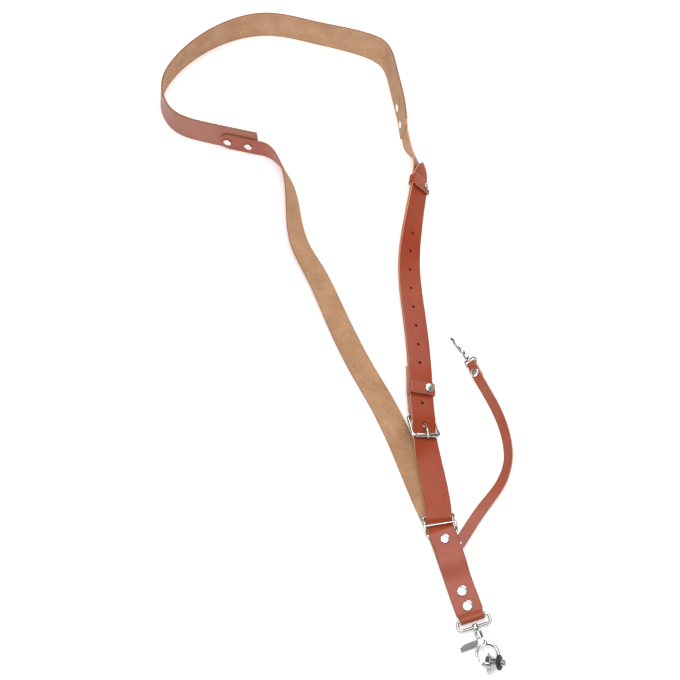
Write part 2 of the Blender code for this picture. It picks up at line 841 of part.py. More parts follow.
roller_radius = buckle_wire + metal_gap + roller_wall
roller_height = strap_wall / 2.0 + metal_gap + roller_radius
heel_point = right_route.spot(heel_mark, 0.0, heel_height)
roller_point = right_route.spot(roller_mark, 0.0, roller_height)
buckle_seat = Seat(heel_point, roller_point - heel_point, right_route.frame(heel_mark)[3])
buckle_reach = float(np.linalg.norm(roller_point - heel_point))
arm_across = tongue_width / 2.0 + buckle_side_gap + buckle_wire


def buckle_spot(x, y):
    """A point on the frame's plane, which turns a little with the strap from bar to bar."""
    share = x / buckle_reach
    heel = heel_point - right_route.frame(heel_mark)[2] * y
    outer = roller_point - right_route.frame(roller_mark)[2] * y
    return heel * (1.0 - share) + outer * share


def buckle_frame():
    """The bent wire frame: heel bar in the fold, two arms and the bar that carries the roller."""
    corners = [(0.0, arm_across), (buckle_reach, arm_across), (buckle_reach, -arm_across), (0.0, -arm_across)]
    points = [buckle_spot(x, y) for x, y in fillet(corners, 2.0 * buckle_wire, 4)]
    return wire("buckle_frame", points, buckle_wire, buckle_seat.z, nickel_paint("buckle_nickel"), True, 8)


def buckle_roller():
    """The sleeve that turns on the outer bar."""
    half = arm_across - 2.0 * buckle_wire - metal_gap
    inner = buckle_wire + metal_gap
    profile = [(inner, -half), (roller_radius, -half), (roller_radius, half), (inner, half)]
    return hoop("buckle_roller", profile, roller_point, right_route.frame(roller_mark)[2], nickel_paint("roller_nickel"), 16)


def buckle_prong():
    """The prong: an eye round the heel bar, then up through the hole and over the roller."""
    eye = buckle_wire + metal_gap + prong_radius
    rows = [(eye * math.cos(t), heel_height + eye * math.sin(t)) for t in np.radians(np.linspace(-35, -275, 11))]
    rise = tongue_heights([prong_mark])[0][1]
    over = roller_height + roller_radius + metal_gap + prong_radius
    shift = prong_mark - heel_mark
    rows += [(shift * 0.42, heel_height + eye * 0.97), (shift * 0.70, heel_height + eye * 1.0),
             (shift - 0.0012, rise - 0.0013), (shift, rise + 0.0004), (shift + 0.0014, rise + 0.0026),
             (shift + 0.0036, over - 0.0018), (buckle_reach * 0.80, over - 0.0003),
             (buckle_reach, over), (buckle_reach + 0.0022, over - 0.0002)]
    points = [right_route.spot(heel_mark + s, 0.0, n) for s, n in rows]
    sizes = [prong_radius] * (len(rows) - 1) + [prong_radius * 0.6]
    across = right_route.frame(heel_mark)[2]
    return wire("buckle_prong", points, sizes, across, nickel_paint("prong_nickel"), False, 8)


# Slide

def slide():
    """The three-bar slide: outer bars under the tongue strap, middle bar over it."""
    pitch = slide_length / 2.0
    low = -(strap_wall / 2.0 + ply_gap + slide_wire)
    high = -2.0 * slide_wire + strap_wall / 2.0 + ply_gap + slide_wire
    side = tongue_width / 2.0 + slide_side_gap + slide_wire
    corners = [(-pitch, side), (pitch, side), (pitch, -side), (-pitch, -side)]
    outline = fillet(corners, 2.2 * slide_wire, 3)
    dense = []
    for first, second in zip(outline, outline[1:] + outline[:1]):
        count = 6 if abs(second[0] - first[0]) > pitch * 0.5 else 1
        dense += [tuple(np.array(first) + (np.array(second) - np.array(first)) * k / count) for k in range(count)]
    seat = Seat(right_route.spot(slide_mark, 0.0, 0.0), right_route.frame(slide_mark)[1], (0.0, 0.0, 1.0))
    bow = [seat(x, y, low + (high - low) * max(0.0, 1.0 - (x / pitch) ** 2) ** 1.5) for x, y in dense]
    material = nickel_paint("slide_nickel")
    thing = wire("slide", bow, slide_wire, seat.z, material, True, 8)
    bar = wire("slide_bar", [seat(0.0, -side, high), seat(0.0, 0.0, high), seat(0.0, side, high)],
               slide_wire * 0.98, seat.z, material, False, 8)
    return join(thing, bar)


# Snap: the eye in the tab's fold, the swivel, the hook and its lever

eye_place, eye_along, eye_across, eye_face = left.frame(eye_mark)
eye_seat = Seat(left.spot(eye_mark, 0.0, eye_height), eye_along, (0.0, 0.0, 1.0))
snap_turn = math.radians(3.5)
snap_ahead = eye_seat.turn(math.cos(snap_turn), math.sin(snap_turn), 0.0)
boss_reach = eye_length - 2.0 * eye_wire
boss_point = eye_seat(boss_reach, 0.0, 0.0)
hook_flat = 1.25
snap_centre_height = 0.0003 + 2.0 * bail_wire + metal_gap + hook_bar / 2.0 * hook_flat
snap_seat = Seat((boss_point[0], boss_point[1], snap_centre_height), snap_ahead, (0.0, 0.0, 1.0))
collar_start = 0.0046
collar_end = 0.0104
pin_radius = 0.0014
pin_head = 0.0022
socket_radius = pin_head + metal_gap
collar_radius = socket_radius + 0.0012
ring_reach = 0.0262
pivot_reach = 0.0148
pivot_side = -0.0006
pivot_radius = 0.0014
lever_low = 0.0007
lever_ring = 0.0036
gate_radius = 0.0014


def ring_spot(angle, height=0.0):
    """A point on the middle line of the open hook, by its angle round the ring."""
    turn = math.radians(angle)
    return snap_seat(ring_reach + hook_radius * math.cos(turn), hook_radius * math.sin(turn), height)


def snap_eye():
    """The oblong wire eye with the boss and the pin that the hook turns on."""
    side = strap_width / 2.0 + eye_side_gap + eye_wire
    material = nickel_paint("eye_nickel")
    corners = [(0.0, side), (boss_reach, side), (boss_reach, -side), (0.0, -side)]
    drop = snap_centre_height - boss_point[2]
    points = [eye_seat(x, y, drop * x / boss_reach) for x, y in fillet(corners, boss_reach * 0.36, 4)]
    loop = wire("snap_eye", points, eye_wire, eye_seat.z, material, True, 8)
    tip = collar_end - 0.0014
    neck = tip - 0.0014
    boss = eye_wire + 0.0014
    profile = [(0.0, -boss), (boss * 0.8, -boss), (boss, -boss * 0.6), (boss, boss * 0.6), (boss * 0.8, boss),
               (pin_radius, boss + 0.0004), (pin_radius, neck), (pin_head, neck), (pin_head, tip), (0.0, tip)]
    pin = turned("pin", profile, snap_seat(0.0, 0.0, 0.0), snap_seat.x, material, 12)
    return join(loop, pin)


def snap_hook():
    """The hook body: a collar round the pin, a neck, the open hook and the lever's pivot pin."""
    material = nickel_paint("hook_nickel")
    mouth = pin_radius + metal_gap
    bottom = collar_end - 0.0010
    head_start = collar_end - 0.0028 - metal_gap
    rim = 0.0006
    profile = [(0.0, bottom), (socket_radius, bottom), (socket_radius, head_start), (mouth, head_start),
               (mouth, collar_start), (collar_radius - rim, collar_start), (collar_radius, collar_start + rim),
               (collar_radius, collar_end), (collar_radius - 2.0 * rim, collar_end + 2.0 * rim),
               (0.0, collar_end + 2.0 * rim)]
    body = turned("snap_hook", profile, snap_seat(0.0, 0.0, 0.0), snap_seat.x, material, 16)
    half = hook_bar / 2.0
    rows = [(snap_seat(collar_end - 0.0002, 0.0, 0.0), half * 1.35), (snap_seat(pivot_reach - 0.001, 0.0003, 0.0), half * 1.5)]
    rows += [(ring_spot(angle), half) for angle in range(156, -30, -15)]
    rows += [(ring_spot(angle), half * 0.85) for angle in (-34, -46, -57)]
    bar = wire("hook", [point for point, width in rows], [width for point, width in rows], snap_seat.z,
               material, False, 8, hook_flat)
    thing = join(body, bar)
    well = lever_ring + 2.0 * metal_gap
    cut(thing, turned("well", [(0.0, lever_low - metal_gap), (well, lever_low - metal_gap), (well, 0.02), (0.0, 0.02)],
                      snap_seat(pivot_reach, pivot_side, 0.0), snap_seat.z, material, 16))
    top = lever_low + lever_height + metal_gap
    pin = turned("pivot", [(0.0, -0.001), (pivot_radius, -0.001), (pivot_radius, top), (2.0 * pivot_radius, top),
                           (1.8 * pivot_radius, top + 0.0006), (0.0, top + 0.0009)],
                 snap_seat(pivot_reach, pivot_side, 0.0), snap_seat.z, material, 12)
    return stand_on(join(thing, pin), snap_seat(0.0, 0.0, 0.0))


def snap_lever():
    """The sprung lever: a ring on the pivot, the gate that closes the hook and the thumb plate."""
    material = nickel_paint("lever_nickel")
    inner = pivot_radius + metal_gap
    ring = hoop("snap_lever", [(inner, lever_low), (lever_ring, lever_low), (lever_ring, lever_low + lever_height),
                               (inner, lever_low + lever_height)],
                snap_seat(pivot_reach, pivot_side, 0.0), snap_seat.z, material, 16)
    middle = lever_low + lever_height / 2.0
    rows = [snap_seat(pivot_reach + 0.0006, pivot_side - 0.0026, middle), snap_seat(0.0176, -0.0056, middle * 0.8)]
    rows += [ring_spot(angle, middle * share) for angle, share in ((-134, 0.45), (-120, 0.1), (-104, 0.0), (-88, 0.0), (-79, 0.0))]
    gate = wire("gate", rows, gate_radius, snap_seat.z, material, False, 8, 1.1)
    thing = join(ring, gate)
    plate_rows = [(-0.0026, 0.0120, 0.0168, 0.0030), (-0.0080, 0.0112, 0.0172, 0.0034),
                  (-0.0160, 0.0112, 0.0174, 0.0036), (-0.0216, 0.0128, 0.0172, 0.0032)]
    rings = []
    for side, near, far, high in plate_rows:
        rings.append([snap_seat(near, side, high), snap_seat(far, side, lever_low + 0.0002),
                      snap_seat(far, side, lever_low + 0.0014), snap_seat(near, side, high + 0.0012)])
    thing = join(thing, loft("plate", rings, material))
    return stand_on(thing, snap_seat(pivot_reach, pivot_side, 0.0))


# Connector: a D-ring round the hook's bar, and the screw that it carries

connector_angle = -20
bar_point = ring_spot(connector_angle)
bail_seat = Seat(bar_point, bar_point - snap_seat(ring_reach, 0.0, 0.0), (0.0, 0.0, 1.0))
tilt_across = 0.73
tilt_ahead = 0.40
tilt_up = 0.40
screw_axis = unit(snap_seat.turn(tilt_ahead, tilt_across, tilt_up))
bail_low = -(hook_bar / 2.0 * hook_flat + metal_gap + bail_wire)
head_clear = head_radius * 0.93 + head_length / 2.0 * 0.44
bail_high = hook_bar / 2.0 * hook_flat + metal_gap + head_clear
bail_half = head_radius + 2.0 * metal_gap + bail_wire
bail_middle = -0.0012
head_point = bail_seat(bail_middle, 0.0, bail_high)


def connector_bail():
    """The D-ring that hangs in the hook and passes through the screw's head."""
    corners = [(bail_middle - bail_half, bail_low), (bail_middle + bail_half, bail_low),
               (bail_middle + bail_half, bail_high), (bail_middle - bail_half, bail_high)]
    points = [bail_seat(x, 0.0, z) for x, z in fillet(corners, 1.4 * bail_wire, 3)]
    thing = wire("connector_bail", points, bail_wire, bail_seat.y, nickel_paint("bail_nickel"), True, 8)
    return stand_on(thing, bar_point)


washer_mark = head_length / 2.0 + 0.0052
stud_end = washer_mark + washer_wall + 0.0042


def connector_screw():
    """The screw: a round head that the D-ring passes through, a shoulder and the stud."""
    half = head_length / 2.0
    rim = 0.0005
    material = nickel_paint("screw_nickel")
    shoulder = washer_mark - metal_gap
    profile = [(0.0, -half), (head_radius - rim, -half), (head_radius, rim - half), (head_radius, half - rim),
               (head_radius - rim, half), (0.0040, half), (0.0040, shoulder), (stud_radius - 0.0004, shoulder),
               (stud_radius - 0.0004, washer_mark + washer_wall), (stud_radius, washer_mark + washer_wall + 0.0003),
               (stud_radius, stud_end - 0.0008), (stud_radius - 0.0008, stud_end), (0.0, stud_end)]
    thing = turned("connector_screw", profile, head_point, screw_axis, material, 16)
    bore = turned("bore", [(0.0, -0.01), (bail_wire + metal_gap, -0.01), (bail_wire + metal_gap, 0.01), (0.0, 0.01)],
                  head_point, bail_seat.x, material, 10)
    cut(thing, bore)
    return stand_on(thing, bar_point)


def connector_washer():
    """The rubber disc on the stud."""
    inner = stud_radius - 0.0004 + metal_gap
    rim = 0.0006
    low = washer_mark
    high = washer_mark + washer_wall
    profile = [(inner, low), (washer_radius - rim, low), (washer_radius, low + rim), (washer_radius, high - rim),
               (washer_radius - rim, high), (inner + 0.0006, high)]
    thing = hoop("connector_washer", profile, head_point, screw_axis, rubber_paint("washer_rubber"), 16)
    return stand_on(thing, bar_point)


# Tether, with its rivets and the small clasp on its end

tether_anchor = left.spot(tether_rivet_mark, tether_rivet_across, 0.0)
tether_lift = (tab_lift * strap_wall + strap_wall + ply_gap) / tether_wall
tether_aim = unit(np.array(laid(tether_places)[0][:2]) - tether_anchor[:2])
tether_rows = [(*(tether_anchor[:2] + tether_aim * shift), 0, tether_lift) for shift in (-0.008, 0.0, 0.008)]
tether_rows += laid(tether_places)
tether = Route(tether_rows, tether_width, tether_wall)
tether_first = tether.marks[1]
clasp_fold = tether_wall / 2.0 + metal_gap + clasp_wire
tether_rivet_up = tether.length - 0.0108
tether_return = tether.length - 0.0175


def tether_strap():
    """The narrow tether, riveted at the tab and folded round the eye of the clasp."""
    half = tether_width / 2.0
    start = tether_first - half
    path = [(start + d, 0.0, size) for d, size in round_end(half)]
    narrow = half - tether_narrowing
    path += even([(s, 0.0) for s in run(start + half + 0.002, tether.length - 0.0060, 0.006)], half)
    path += even([(tether.length - 0.0022, 0.0), (tether.length, 0.0)], narrow)
    path += even(arc(tether.length, -clasp_fold, clasp_fold, 90.0, -90.0, 8)[1:], narrow)
    closed = -(tether_wall + ply_gap)
    table = [(tether_return - 0.001, closed), (tether_rivet_up + small_cap, closed), (tether.length, -2.0 * clasp_fold)]
    fold = [tether.length - shift for shift in (0.0008, 0.0016, 0.0028)]
    path += even(heights(table, fold), narrow)
    path += even(heights(table, run(tether.length - 0.0060, tether_return, 0.004)), half)
    thing = ribbon("tether", tether, path, tether_wall, leather_paint("tether_leather"))
    places = [post_place(tether, tether_first, 0.0), post_place(tether, tether_rivet_up, 0.0)]
    punch(thing, places, post_radius + metal_gap, 0.006, thing.active_material)
    return thing


clasp_place, clasp_along, clasp_across, clasp_face = tether.frame(tether.length)
clasp_bar = tether.spot(tether.length, 0.0, -clasp_fold)
clasp_turn = math.radians(13.0)
clasp_flat = unit(np.array([clasp_along[0] * math.cos(clasp_turn) - clasp_along[1] * math.sin(clasp_turn),
                            clasp_along[0] * math.sin(clasp_turn) + clasp_along[1] * math.cos(clasp_turn), 0.0]))
clasp_seat = Seat((clasp_bar[0], clasp_bar[1], max(clasp_bar[2], clasp_height / 2.0 + 0.0005)), clasp_flat, (0, 0, 1))
clasp_eye_length = 0.0056


def clasp_eye():
    """The wire eye in the tether's fold, with the pin that the clasp turns on."""
    material = nickel_paint("clasp_nickel")
    side = tether_width / 2.0 + clasp_wire + 2.0 * metal_gap
    bar = Seat(clasp_bar, clasp_along, clasp_face)
    far = clasp_seat(clasp_eye_length, 0.0, 0.0)
    corners = [(0.0, side), (clasp_eye_length, side * 0.85), (clasp_eye_length, -side * 0.85), (0.0, -side)]
    points = []
    for x, y in fillet(corners, 0.0016, 3):
        share = (x / clasp_eye_length) ** 2
        flat = clasp_seat(x, y, 0.0) * share + bar(x, y, 0.0) * (1.0 - share)
        points.append(flat)
    loop = wire("clasp_eye", points, clasp_wire, bar.z, material, True, 8)
    profile = [(0.0, -0.0014), (0.0017, -0.0014), (0.0020, 0.0), (0.0017, 0.0016), (0.0009, 0.0016),
               (0.0009, 0.0044), (0.0014, 0.0044), (0.0014, 0.0053), (0.0, 0.0053)]
    pin = turned("pin", profile, far, clasp_seat.x, material, 12)
    return join(loop, pin)


def clasp_body():
    """The clasp: a socket round the pin and a narrow hook that stands on its edge."""
    material = nickel_paint("clasp_body_nickel")
    start = clasp_eye_length + 0.0022
    profile = [(0.0, start + 0.0038), (0.0017, start + 0.0038), (0.0017, start + 0.0018), (0.0012, start + 0.0018),
               (0.0012, start), (0.0023, start), (0.0027, start + 0.0005), (0.0027, start + 0.0042),
               (0.0020, start + 0.0050), (0.0, start + 0.0050)]
    body = turned("clasp_body", profile, clasp_seat(0.0, 0.0, 0.0), clasp_seat.x, material, 16)
    base = start + 0.0046
    high = clasp_height / 2.0 - 0.0012
    tip = clasp_length + 0.0030
    rows = [(base, 0.0), (base + 0.0025, high * 0.8), (base + 0.006, high), (base + 0.010, high * 0.85),
            (tip - 0.0022, high * 0.45), (tip, -high * 0.25), (tip - 0.0016, -high * 0.8)]
    points = [clasp_seat(x, 0.0, z) for x, z in rows]
    sizes = [0.0016, 0.0016, 0.0015, 0.0014, 0.0013, 0.0012, 0.0010]
    thing = join(body, wire("arm", points, sizes, clasp_seat.y, material, False, 8, 1.1))
    return stand_on(thing, clasp_seat(0.0, 0.0, 0.0))


def clasp_lever():
    """The sprung lever that closes the clasp."""
    material = nickel_paint("clasp_lever_nickel")
    low = -(clasp_height / 2.0 - 0.0012)
    base = clasp_eye_length + 0.0022 + 0.0068
    tip = clasp_length + 0.0030
    rows = [(base, low * 0.9), (base + 0.003, low), (base + 0.007, low), (tip - 0.0048, low * 0.85)]
    points = [clasp_seat(x, 0.0, z) for x, z in rows]
    thing = wire("clasp_lever", points, [0.0008, 0.0011, 0.0011, 0.0010], clasp_seat.y, material, False, 8, 1.2)
    return stand_on(thing, points[0])


def rivets():
    """The rivets of the joints with the neck band, the tab, the tether and the buckle's fold."""
    material = nickel_paint("rivet_nickel")
    outer = strap_wall / 2.0
    band_side = outer + ply_gap + band_wall
    for k in range(2):
        rivet("left_rivet_%d" % (k + 1), left, left_rivet(k), 0.0, -outer, band_side, small_cap, material,
              back=cap_rise, side=-1.0)
        rivet("right_rivet_%d" % (k + 1), right_route, right_rivet(k), 0.0, -band_side, outer, small_cap,
              material, back=cap_rise, side=-1.0)
    front = [tab_open + outer, tab_closed + outer, tab_closed + outer]
    caps = [small_cap, large_cap, large_cap]
    for k, (mark, high, cap) in enumerate(zip(tab_rivet_marks(), front, caps)):
        rivet("tab_rivet_%d" % (k + 1), left, mark, 0.0, -outer, high, cap, material)
    high = outer + ply_gap + tether_wall
    rivet("tether_rivet_1", left, tether_rivet_mark, tether_rivet_across, -outer, high, small_cap, material)
    half = tether_wall / 2.0
    rivet("tether_rivet_2", tether, tether_rivet_up, 0.0, -(3.0 * half + ply_gap), half, small_cap, material)
    rivet("return_rivet", right_route, return_rivet_mark, 0.0, return_height - outer, outer, small_cap,
          material, rise=back_rise)


def build():
    """Make every piece."""
    neck_band()
    left_strap()
    buckle_strap()
    tongue_strap()
    buckle_frame()
    buckle_roller()
    buckle_prong()
    slide()
    snap_eye()
    snap_hook()
    snap_lever()
    connector_bail()
    connector_screw()
    connector_washer()
    tether_strap()
    clasp_eye()
    clasp_body()
    clasp_lever()
    rivets()
    level = tongue_heights([keeper_marks[0], keeper_marks[1]])
    for name, mark, (s, n) in zip(("upper_keeper", "lower_keeper"), keeper_marks, level):
        thing, high = keeper(name, mark, -strap_wall / 2.0, n + strap_wall / 2.0)
        lap = high + keeper_wall + ply_gap
        rivet(name + "_rivet", right_route, mark, keeper_rivet_across, high - keeper_wall / 2.0,
              lap + keeper_wall / 2.0, small_cap, nickel_paint(name + "_nickel"))


build()
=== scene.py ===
# %% [markdown]
# # Leather sling strap for one camera
#
# The strap lies on a pale surface, as it falls by itself. A wide neck band stands on its edge,
# two narrow straps run down from it, and they meet in a riveted tab that carries a swivel snap.
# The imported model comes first: it is the frame that every piece here is built in.

# %%
# Load the frame
import math

import bmesh
import bpy
import mathutils
import numpy as np
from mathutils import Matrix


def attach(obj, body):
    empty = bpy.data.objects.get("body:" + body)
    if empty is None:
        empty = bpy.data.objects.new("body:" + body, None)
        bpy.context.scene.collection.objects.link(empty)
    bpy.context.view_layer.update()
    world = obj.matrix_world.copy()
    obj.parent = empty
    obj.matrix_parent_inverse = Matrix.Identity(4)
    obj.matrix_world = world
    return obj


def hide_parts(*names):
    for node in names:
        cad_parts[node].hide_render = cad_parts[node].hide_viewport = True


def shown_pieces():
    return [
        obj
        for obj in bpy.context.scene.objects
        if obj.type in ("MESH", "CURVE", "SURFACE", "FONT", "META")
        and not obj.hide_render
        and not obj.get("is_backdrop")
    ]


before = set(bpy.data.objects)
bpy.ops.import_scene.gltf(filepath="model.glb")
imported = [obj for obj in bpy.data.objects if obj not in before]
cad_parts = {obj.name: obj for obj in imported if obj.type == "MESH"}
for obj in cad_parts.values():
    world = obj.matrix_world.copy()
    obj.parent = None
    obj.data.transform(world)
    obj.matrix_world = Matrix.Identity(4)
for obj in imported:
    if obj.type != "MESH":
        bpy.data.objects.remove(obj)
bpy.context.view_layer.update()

print("CAD nodes:", len(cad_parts))

# %% [markdown]
# The camera stands in front of the strap and looks down at 63 degrees, which is the angle that the
# photo's outline gives. The world is dim, so that the polished metal has something dark to
# reflect, and large soft lights do the rest.

# %%
# Camera, floor and lights
camera_place = (0.0200, -0.5582, 1.0190)
camera_tilt = 27.0
camera_lens = 58.235
world_strength = 0.24
paper_glow = 0.24
floor_half = 6.0

scene = bpy.context.scene
camera_data = bpy.data.cameras.new("camera")
camera_data.sensor_width = 36.0
camera_data.lens = camera_lens
camera_data.clip_start = 0.01
camera = bpy.data.objects.new("camera", camera_data)
camera.location = camera_place
camera.rotation_euler = (math.radians(camera_tilt), 0.0, 0.0)
scene.collection.objects.link(camera)
scene.camera = camera


def area_light(name, place, aim, size, power):
    """A soft rectangular light that points at a place."""
    data = bpy.data.lights.new(name, "AREA")
    data.shape = "RECTANGLE"
    data.size = size[0]
    data.size_y = size[1]
    data.energy = power
    lamp = bpy.data.objects.new(name, data)
    lamp.location = place
    way = mathutils.Vector(aim) - mathutils.Vector(place)
    lamp.rotation_euler = way.to_track_quat("-Z", "Y").to_euler()
    scene.collection.objects.link(lamp)
    return lamp


middle_of_strap = (0.0, 0.0, 0.0)
lights = [
    area_light("overhead", (-0.08, -0.10, 1.75), middle_of_strap, (1.6, 1.3), 24.0),
    area_light("back_right", (0.75, 1.15, 1.25), (0.05, -0.05, 0.0), (0.9, 0.8), 15.0),
    area_light("front_left", (-1.30, -1.00, 0.80), middle_of_strap, (0.9, 0.9), 7.0),
    area_light("front", (0.25, -1.70, 0.55), (0.1, -0.3, 0.0), (2.0, 0.7), 3.5),
]

world = bpy.data.worlds.new("studio")
world.use_nodes = True
sky = world.node_tree.nodes["Background"]
sky.inputs["Color"].default_value = (1.0, 1.0, 1.0, 1.0)
sky.inputs["Strength"].default_value = world_strength
scene.world = world

floor_mesh = bpy.data.meshes.new("floor")
floor_corners = [(x * floor_half, y * floor_half, 0.0) for x, y in ((-1, -1), (1, -1), (1, 1), (-1, 1))]
floor_mesh.from_pydata(floor_corners, [], [(0, 1, 2, 3)])
floor = bpy.data.objects.new("floor", floor_mesh)
scene.collection.objects.link(floor)
floor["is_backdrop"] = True
paper = bpy.data.materials.new("paper")
paper.use_nodes = True
paper_shader = paper.node_tree.nodes["Principled BSDF"]
paper_shader.inputs["Base Color"].default_value = (0.92, 0.92, 0.92, 1.0)
paper_shader.inputs["Roughness"].default_value = 0.9
paper_shader.inputs["Emission Color"].default_value = (1.0, 1.0, 1.0, 1.0)
paper_shader.inputs["Emission Strength"].default_value = paper_glow
floor_mesh.materials.append(paper)

scene.render.engine = "CYCLES"
scene.view_settings.view_transform = "Standard"
scene.view_settings.look = "None"
print("Lights:", [lamp.name for lamp in lights])

# %% [markdown]
# The sizes are those of the CAD model, in metres. Lengths along a strap are distances on its
# route, and the walls and gaps put the plies of each joint where the CAD model has them.

# %%
# Sizes
# How far the laid-out strap spreads from left to right, and from the back of the loop to the hook
spread = 0.380
reach = 0.770

# Widths of the straps
band_width = 0.038
strap_width = 0.0255
tongue_width = 0.025
tether_width = 0.011
keeper_width = 0.012

# Walls of the leather
band_wall = 0.0022
strap_wall = 0.0020
tether_wall = 0.0017
tether_narrowing = 0.0010
keeper_wall = 0.0015

# Spaces between the plies of a joint, and round the metal
ply_gap = 0.0003
metal_gap = 0.0003

# Laps where the straps are riveted to the neck band, and the spacing of their rivets
left_lap = 0.045
right_lap = 0.048
lap_rivet_inset = 0.011
lap_rivet_pitch = 0.0245

# Row of holes in the tongue strap
hole_radius = 0.00135
hole_pitch = 0.0226
hole_count = 11
tongue_point = 0.020
tip_spring = 0.0035

# Rivets: cap, back and post
large_cap = 0.0050
small_cap = 0.0045
cap_rise = 0.0016
back_rise = 0.0006
post_radius = 0.0014

# Roller buckle
buckle_wire = 0.0015
buckle_length = 0.0215
buckle_side_gap = 0.0006
fold_narrowing = 0.0012
roller_wall = 0.0006
prong_radius = 0.0011

# Slide with three bars
slide_wire = 0.0012
slide_length = 0.0190
slide_side_gap = 0.0012

# Swivel snap and its eye
eye_wire = 0.0014
eye_side_gap = 0.0014
eye_length = 0.0116
hook_radius = 0.0098
hook_bar = 0.0036
lever_height = 0.0042

# Screw connector in the hook
washer_radius = 0.0067
washer_wall = 0.0032
stud_radius = 0.0030
head_radius = 0.0056
head_length = 0.0052
bail_wire = 0.0010

# Small clasp on the tether
clasp_length = 0.0325
clasp_height = 0.0068
clasp_wire = 0.0009

# The tab: the end of the left strap, folded round the eye of the snap and riveted to itself
tab_length = 0.0845
tab_rivet_inset = 0.0086
tab_rivet_low = 0.0112
tab_rivet_pitch = 0.0145
tongue_inset = 0.0135
print("Sizes: %d by %d mm" % (1000 * spread, 1000 * reach))


# %% [markdown]
# A strap follows a route. A route is a short table of places with the lean of the strap at each,
# from 0 where it lies flat to 90 where it stands on its edge. Splines turn the table into a
# smooth centre line with the directions of its length, its width and its face.

# %%
# Curves and routes
def cubic(knots, values, places):
    """A natural cubic spline through the values."""
    count = len(knots)
    step = np.diff(knots)
    slope = np.diff(values) / step
    matrix = np.eye(count)
    right = np.zeros(count)
    for k in range(1, count - 1):
        matrix[k, k - 1] = step[k - 1]
        matrix[k, k] = 2.0 * (step[k - 1] + step[k])
        matrix[k, k + 1] = step[k]
        right[k] = 6.0 * (slope[k] - slope[k - 1])
    bend = np.linalg.solve(matrix, right)
    k = np.clip(np.searchsorted(knots, places) - 1, 0, count - 2)
    t = places - knots[k]
    rise = slope[k] - step[k] * (2.0 * bend[k] + bend[k + 1]) / 6.0
    return values[k] + t * rise + t * t * bend[k] / 2.0 + t ** 3 * (bend[k + 1] - bend[k]) / (6.0 * step[k])


def glide(knots, values, places):
    """A smooth curve through the values that never overshoots them."""
    step = np.diff(knots)
    slope = np.diff(values) / step
    lean = np.zeros(len(knots))
    for k in range(1, len(knots) - 1):
        if slope[k - 1] * slope[k] > 0.0:
            lean[k] = 2.0 * slope[k - 1] * slope[k] / (slope[k - 1] + slope[k])
    k = np.clip(np.searchsorted(knots, places) - 1, 0, len(knots) - 2)
    t = np.clip((places - knots[k]) / step[k], 0.0, 1.0)
    low = values[k] * (1.0 + 2.0 * t) * (1.0 - t) ** 2 + values[k + 1] * t * t * (3.0 - 2.0 * t)
    return low + step[k] * (lean[k] * t * (1.0 - t) ** 2 - lean[k + 1] * t * t * (1.0 - t))


def unit(vectors):
    """The vectors at length one."""
    return vectors / np.linalg.norm(vectors, axis=-1, keepdims=True)


class Route:
    """A strap's centre line, with the directions of its length, its width and its face.

    Each row is (x, y, lean, lift): a place in metres, how far the strap leans over from flat
    in degrees, and how high its lower edge is held in walls of the strap.
    """

    def __init__(self, rows, width, wall):
        table = np.array(rows, dtype=float)
        knots = np.concatenate([[0.0], np.cumsum(np.hypot(*np.diff(table[:, :2], axis=0).T))])
        fine = np.linspace(0.0, knots[-1], 1200)
        lean = np.radians(glide(knots, table[:, 2], fine))
        lift = glide(knots, table[:, 3], fine) * wall
        height = width / 2.0 * np.abs(np.sin(lean)) + wall / 2.0 * np.abs(np.cos(lean)) + lift
        self.points = np.stack([cubic(knots, table[:, 0], fine), cubic(knots, table[:, 1], fine), height], 1)
        self.along = unit(np.gradient(self.points, axis=0))
        side = unit(np.cross(self.along, (0.0, 0.0, 1.0)))
        top = np.cross(side, self.along)
        self.across = side * np.cos(lean)[:, None] + top * np.sin(lean)[:, None]
        self.face = np.cross(self.across, self.along)
        lengths = np.linalg.norm(np.diff(self.points, axis=0), axis=1)
        self.reach = np.concatenate([[0.0], np.cumsum(lengths)])
        self.length = self.reach[-1]
        self.marks = np.interp(knots, fine, self.reach)

    def frame(self, s):
        """Place, length direction, width direction and face direction at a distance s."""
        held = min(max(s, 0.0), self.length)
        look = [np.array([np.interp(held, self.reach, column[:, k]) for k in range(3)])
                for column in (self.points, self.along, self.across, self.face)]
        place, along, across, face = look
        along = unit(along)
        across = unit(across - along * np.dot(across, along))
        face = np.cross(across, along)
        return place + along * (s - held), along, across, face

    def spot(self, s, a, n):
        """A point given by its distance, its place across and its height off the route."""
        place, along, across, face = self.frame(s)
        return place + across * a + face * n
print("Route ready")


# %% [markdown]
# Each table row is a place as shares of the spread and the reach, the lean in degrees, and the
# lift of the lower edge in walls of the strap. The marks are distances along the routes.

# %%
# Tables of the routes
middle_along = -0.0036


def laid(table):
    """Rows of shares as rows of metres from the middle of the laid-out strap."""
    return [(across * spread, (along - middle_along) * reach, lean, lift) for across, along, lean, lift in table]


band_places = [
    (-0.189, 0.255, 91, 0.0),
    (-0.345, 0.275, 91, 0.0),
    (-0.444, 0.297, 88, 0.0),
    (-0.484, 0.333, 82, 0.0),
    (-0.486, 0.361, 80, 0.0),
    (-0.460, 0.394, 80, 0.0),
    (-0.396, 0.434, 82, 0.0),
    (-0.291, 0.470, 86, 0.0),
    (-0.176, 0.483, 90, 0.0),
    (-0.024, 0.466, 90, 0.0),
    (0.136, 0.4405, 95, 0.0),
    (0.180, 0.427, 99, 0.0),
    (0.216, 0.375, 99, 0.0),
    (0.237, 0.313, 98, 0.0),
    (0.2425, 0.281, 97, 0.0),
]

